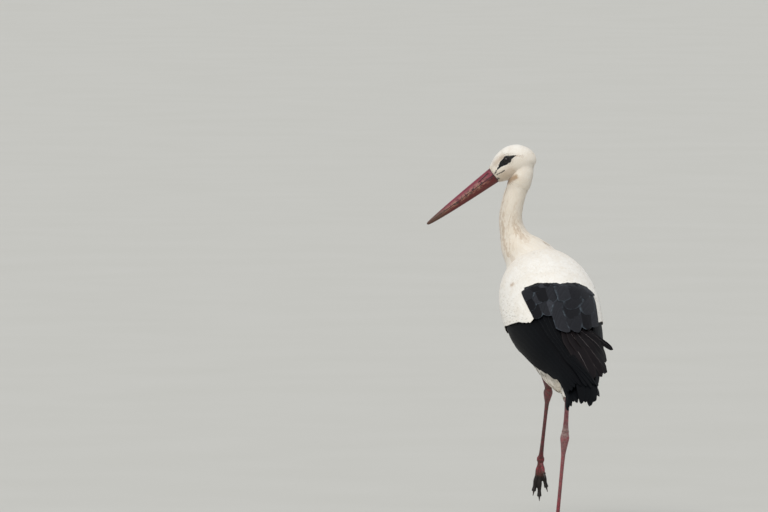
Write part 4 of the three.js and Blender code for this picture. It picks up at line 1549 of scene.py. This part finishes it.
def make_stage():
    """A plain pale floor, a wide soft sky with one broad light, and a long lens behind the bird."""
    bpy.ops.mesh.primitive_plane_add(size=400, location=(0, 0, 0))
    floor = bpy.context.active_object
    floor.name = "floor"
    colour = lambda m, where: painted(m, "#C4C3BC", (add(m, "noise", where, patches(400), 3.0), "#CAC9C3"))
    floor.data.materials.append(finish("matt_painted_floor", colour, Roughness=0.9))

    world = bpy.data.worlds.new("soft_sky")
    bpy.context.scene.world = world
    world.use_nodes = True
    sky = world.node_tree.nodes["Background"]
    sky.inputs["Color"].default_value = (0.93, 0.96, 1.0, 1)
    sky.inputs["Strength"].default_value = 0.62

    bpy.ops.object.light_add(type="SUN", rotation=(math.radians(-38), math.radians(24), 0))
    sun = bpy.context.active_object
    sun.name = "soft_daylight"
    sun.data.angle = math.radians(24)
    sun.data.energy = 1.7
    sun.data.color = (1.0, 0.97, 0.93)

    bpy.ops.object.camera_add(location=(AIM + CAMERA_WAY * CAMERA_FAR) * MM,
                              rotation=Vector(CAMERA_WAY).to_track_quat("Z", "Y").to_euler())
    camera = bpy.context.active_object
    camera.name = "long_lens"
    camera.data.sensor_width = SENSOR
    camera.data.lens = SENSOR * CAMERA_FAR / VIEW_WIDTH
    camera.data.clip_end = 1000
    bpy.context.scene.view_settings.view_transform = "Standard"
    bpy.context.scene.camera = camera


# ---------------------------------------------------------------- settings, operators and panel
def colour_setting(name, description, hex_colour):
    return bpy.props.FloatVectorProperty(name=name, description=description, size=3, min=0, max=1,
                                         subtype="COLOR", default=linear(hex_colour))


class StorkColours(bpy.types.PropertyGroup):
    white: colour_setting("White", "Clean white plumage", "#F6F3EC")
    cream: colour_setting("Cream", "The creamy cast of older white feathers", "#DFD1BC")
    # Buff also paints the shadow in the fold of the throat.
    buff: colour_setting("Buff", "Stains on brow, cheek and throat", "#A5825A")
    black: colour_setting("Black", "Flight feathers", "#090A0D")
    face: colour_setting("Face", "Bare skin round the eye", "#0B0B0E")
    bill: colour_setting("Bill", "Clean red horn", "#842B3C")
    leg: colour_setting("Leg", "Clean red skin", "#A02C40")


class StorkSizes(bpy.types.PropertyGroup):
    seed: bpy.props.IntProperty(name="Seed", description="Changes where each feather lies", default=7, min=0)
    spacing: bpy.props.FloatProperty(
        name="Feather spacing", description="How far apart the coat's feathers grow, as a share",
        subtype="FACTOR", default=1, min=0.8, max=2)
    length: bpy.props.FloatProperty(
        name="Feather length", description="How long the coat's feathers are, as a share",
        subtype="FACTOR", default=1, min=0.8, max=1.2)
    eye_radius: bpy.props.FloatProperty(
        name="Eye radius", description="From the middle of an eyeball to its outside",
        subtype="DISTANCE", unit="LENGTH", default=EYE_RADIUS * MM, min=0.007, max=0.008)
    scale_height: bpy.props.FloatProperty(
        name="Scale height", description="How far the scales of a shank stand out",
        subtype="DISTANCE", unit="LENGTH", default=0.32 * MM, min=0.0001, max=0.0006)


MADE = {}  # what earlier operators made and later ones need


def finished(piece, slot, *nodes):
    """A piece rides on the one body and stands for its solids, which it hides. The slot is not used."""
    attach(piece, "root")
    if nodes:
        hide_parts(*nodes)
    return piece


TOE_NODES = [f"{toe}_{side}" for toe in TOE_PLANS for side in KNEE]


class STORK_OT_skin(bpy.types.Operator):
    """Makes the skin over head, neck, trunk and legs"""

    bl_idname = "stork.skin"
    bl_label = "Skin"

    def execute(self, context):
        flesh = ["head", "neck_upper", "neck_middle", "neck_lower", "trunk"]
        flesh += [f"{part}_{side}" for part in ("thigh", "shin", "shank") for side in KNEE] + TOE_NODES
        skin = make_skin(context.scene.stork_colours)
        MADE["hide"] = Hide(skin, OUTER_NODES)
        MADE["white"] = white_feather_material(context.scene.stork_colours)
        finished(skin, "white_feather", *flesh)
        return {"FINISHED"}


class STORK_OT_coat(bpy.types.Operator):
    """Grows the white contour feathers over head, neck, breast, belly and thighs"""

    bl_idname = "stork.coat"
    bl_label = "Coat"

    def execute(self, context):
        for area in AREAS:
            coat = make_coat(MADE["hide"], area, MADE["white"], context.scene.stork_sizes)
            finished(coat, "white_feather")
        return {"FINISHED"}


class STORK_OT_white_wing(bpy.types.Operator):
    """Lays the white mantle and wing coverts"""

    bl_idname = "stork.white_wing"
    bl_label = "Mantle and coverts"

    def execute(self, context):
        seed = context.scene.stork_sizes.seed
        small = dict(thick=0.06, across=2, along=6, blunt=3.0, wobble=1.2)
        mantle = tract_of_rows("mantle", "left", 22, 24, 3.0, 2.1, seed + 20, MADE["white"],
                               sink=0.8, **small)
        finished(mantle, "white_feather", "mantle")
        for n, side in enumerate(("left", "right")):
            coverts = tract_of_rows("coverts", side, 24, 20, 3.2, 2.2, seed + 21 + n, MADE["white"],
                                    sink=0.45, **small)
            finished(coverts, "white_feather", "coverts_" + side)
        return {"FINISHED"}


class STORK_OT_black_wing(bpy.types.Operator):
    """Lays the black scapulars and flight feathers of both wings, and the white tail"""

    bl_idname = "stork.black_wing"
    bl_label = "Scapulars, flight feathers and tail"

    def execute(self, context):
        colours, seed = context.scene.stork_colours, context.scene.stork_sizes.seed
        black, charcoal, brown = black_feather_material(colours), scapular_material(), tertial_material()
        for n, side in enumerate(("left", "right")):
            s = seed + 40 + 5 * n
            horn, shown = (black, 0.12) if side == "left" else (brown, 0.8)
            scapulars = tract_of_rows("scapulars", side, 4, 4, 2.5, 2.0, s, charcoal, sink=2.2, thick=0.4,
                                      along=14, across=10, wobble=1.6, spill=0.16)
            finished(scapulars, "black_feather", "scapulars_" + side)
            quills = {
                "tertials": (4, 2.1, s + 1, horn, 1.4, 5.0, shown, 0.7),
                "secondaries": (9, 2.3, s + 2, black, 1.3),
                "primaries": (6, 1.9, s + 3, black, 2.0, 4.0),
            }
            for name, plan in quills.items():
                finished(tract_of_quills(name, side, *plan), "black_feather", f"{name}_{side}")
        finished(loose_vanes(brown), "black_feather", "loose_feather_upper", "loose_feather_lower")
        faces, widths = [DORSAL] * TAIL_FEATHERS, [9] * TAIL_FEATHERS
        tail = vanes_along("tail_feathers", tail_lines(), faces, widths, MADE["white"])
        finished(tail, "white_feather", "tail")
        return {"FINISHED"}


class STORK_OT_head(bpy.types.Operator):
    """Makes the two halves of the bill and the eyes"""

    bl_idname = "stork.head"
    bl_label = "Bill and eyes"

    def execute(self, context):
        horn = bill_material(context.scene.stork_colours)
        for half in ("upper", "lower"):
            finished(make_bill(half, horn), "bill", "bill_" + half)
        cornea = eye_material()
        for side, name in ((1, "left"), (-1, "right")):
            finished(make_eye(side, context.scene.stork_sizes.eye_radius, cornea), "eye", "eye_" + name)
        return {"FINISHED"}


class STORK_OT_feet(bpy.types.Operator):
    """Makes the leg scales and the claws"""

    bl_idname = "stork.feet"
    bl_label = "Leg scales and claws"

    def execute(self, context):
        scales, horn = scale_material(context.scene.stork_colours), claw_material()
        swell = context.scene.stork_sizes.scale_height / MM
        for side in KNEE:
            finished(make_scales(side, swell, scales), "leg_skin")
            finished(make_claws(side, horn), "claw", *(f"{toe}_claw_{side}" for toe in TOE_PLANS))
        return {"FINISHED"}


class STORK_OT_stage(bpy.types.Operator):
    """Makes the floor, the light and the camera"""

    bl_idname = "stork.stage"
    bl_label = "Stage"

    def execute(self, context):
        make_stage()
        return {"FINISHED"}


OPERATORS = (STORK_OT_skin, STORK_OT_coat, STORK_OT_white_wing, STORK_OT_black_wing, STORK_OT_head,
             STORK_OT_feet, STORK_OT_stage)


class STORK_PT_panel(bpy.types.Panel):
    bl_idname = "STORK_PT_panel"
    bl_label = "White stork"
    bl_space_type = "VIEW_3D"
    bl_region_type = "UI"
    bl_category = "Stork"

    def draw(self, context):
        for settings in (context.scene.stork_colours, context.scene.stork_sizes):
            for name in settings.__annotations__:
                self.layout.prop(settings, name)
        for operator in OPERATORS:
            self.layout.operator(operator.bl_idname)


CLASSES = (StorkColours, StorkSizes, *OPERATORS, STORK_PT_panel)


def register():
    for made in CLASSES:
        bpy.utils.register_class(made)
    bpy.types.Scene.stork_colours = bpy.props.PointerProperty(type=StorkColours)
    bpy.types.Scene.stork_sizes = bpy.props.PointerProperty(type=StorkSizes)


def unregister():
    del bpy.types.Scene.stork_colours, bpy.types.Scene.stork_sizes
    for made in reversed(CLASSES):
        bpy.utils.unregister_class(made)


def main():
    register()
    bpy.ops.stork.stage()
    bpy.ops.stork.skin()
    bpy.ops.stork.coat()
    bpy.ops.stork.white_wing()
    bpy.ops.stork.black_wing()
    bpy.ops.stork.head()
    bpy.ops.stork.feet()


if __name__ == "__main__":
    main()
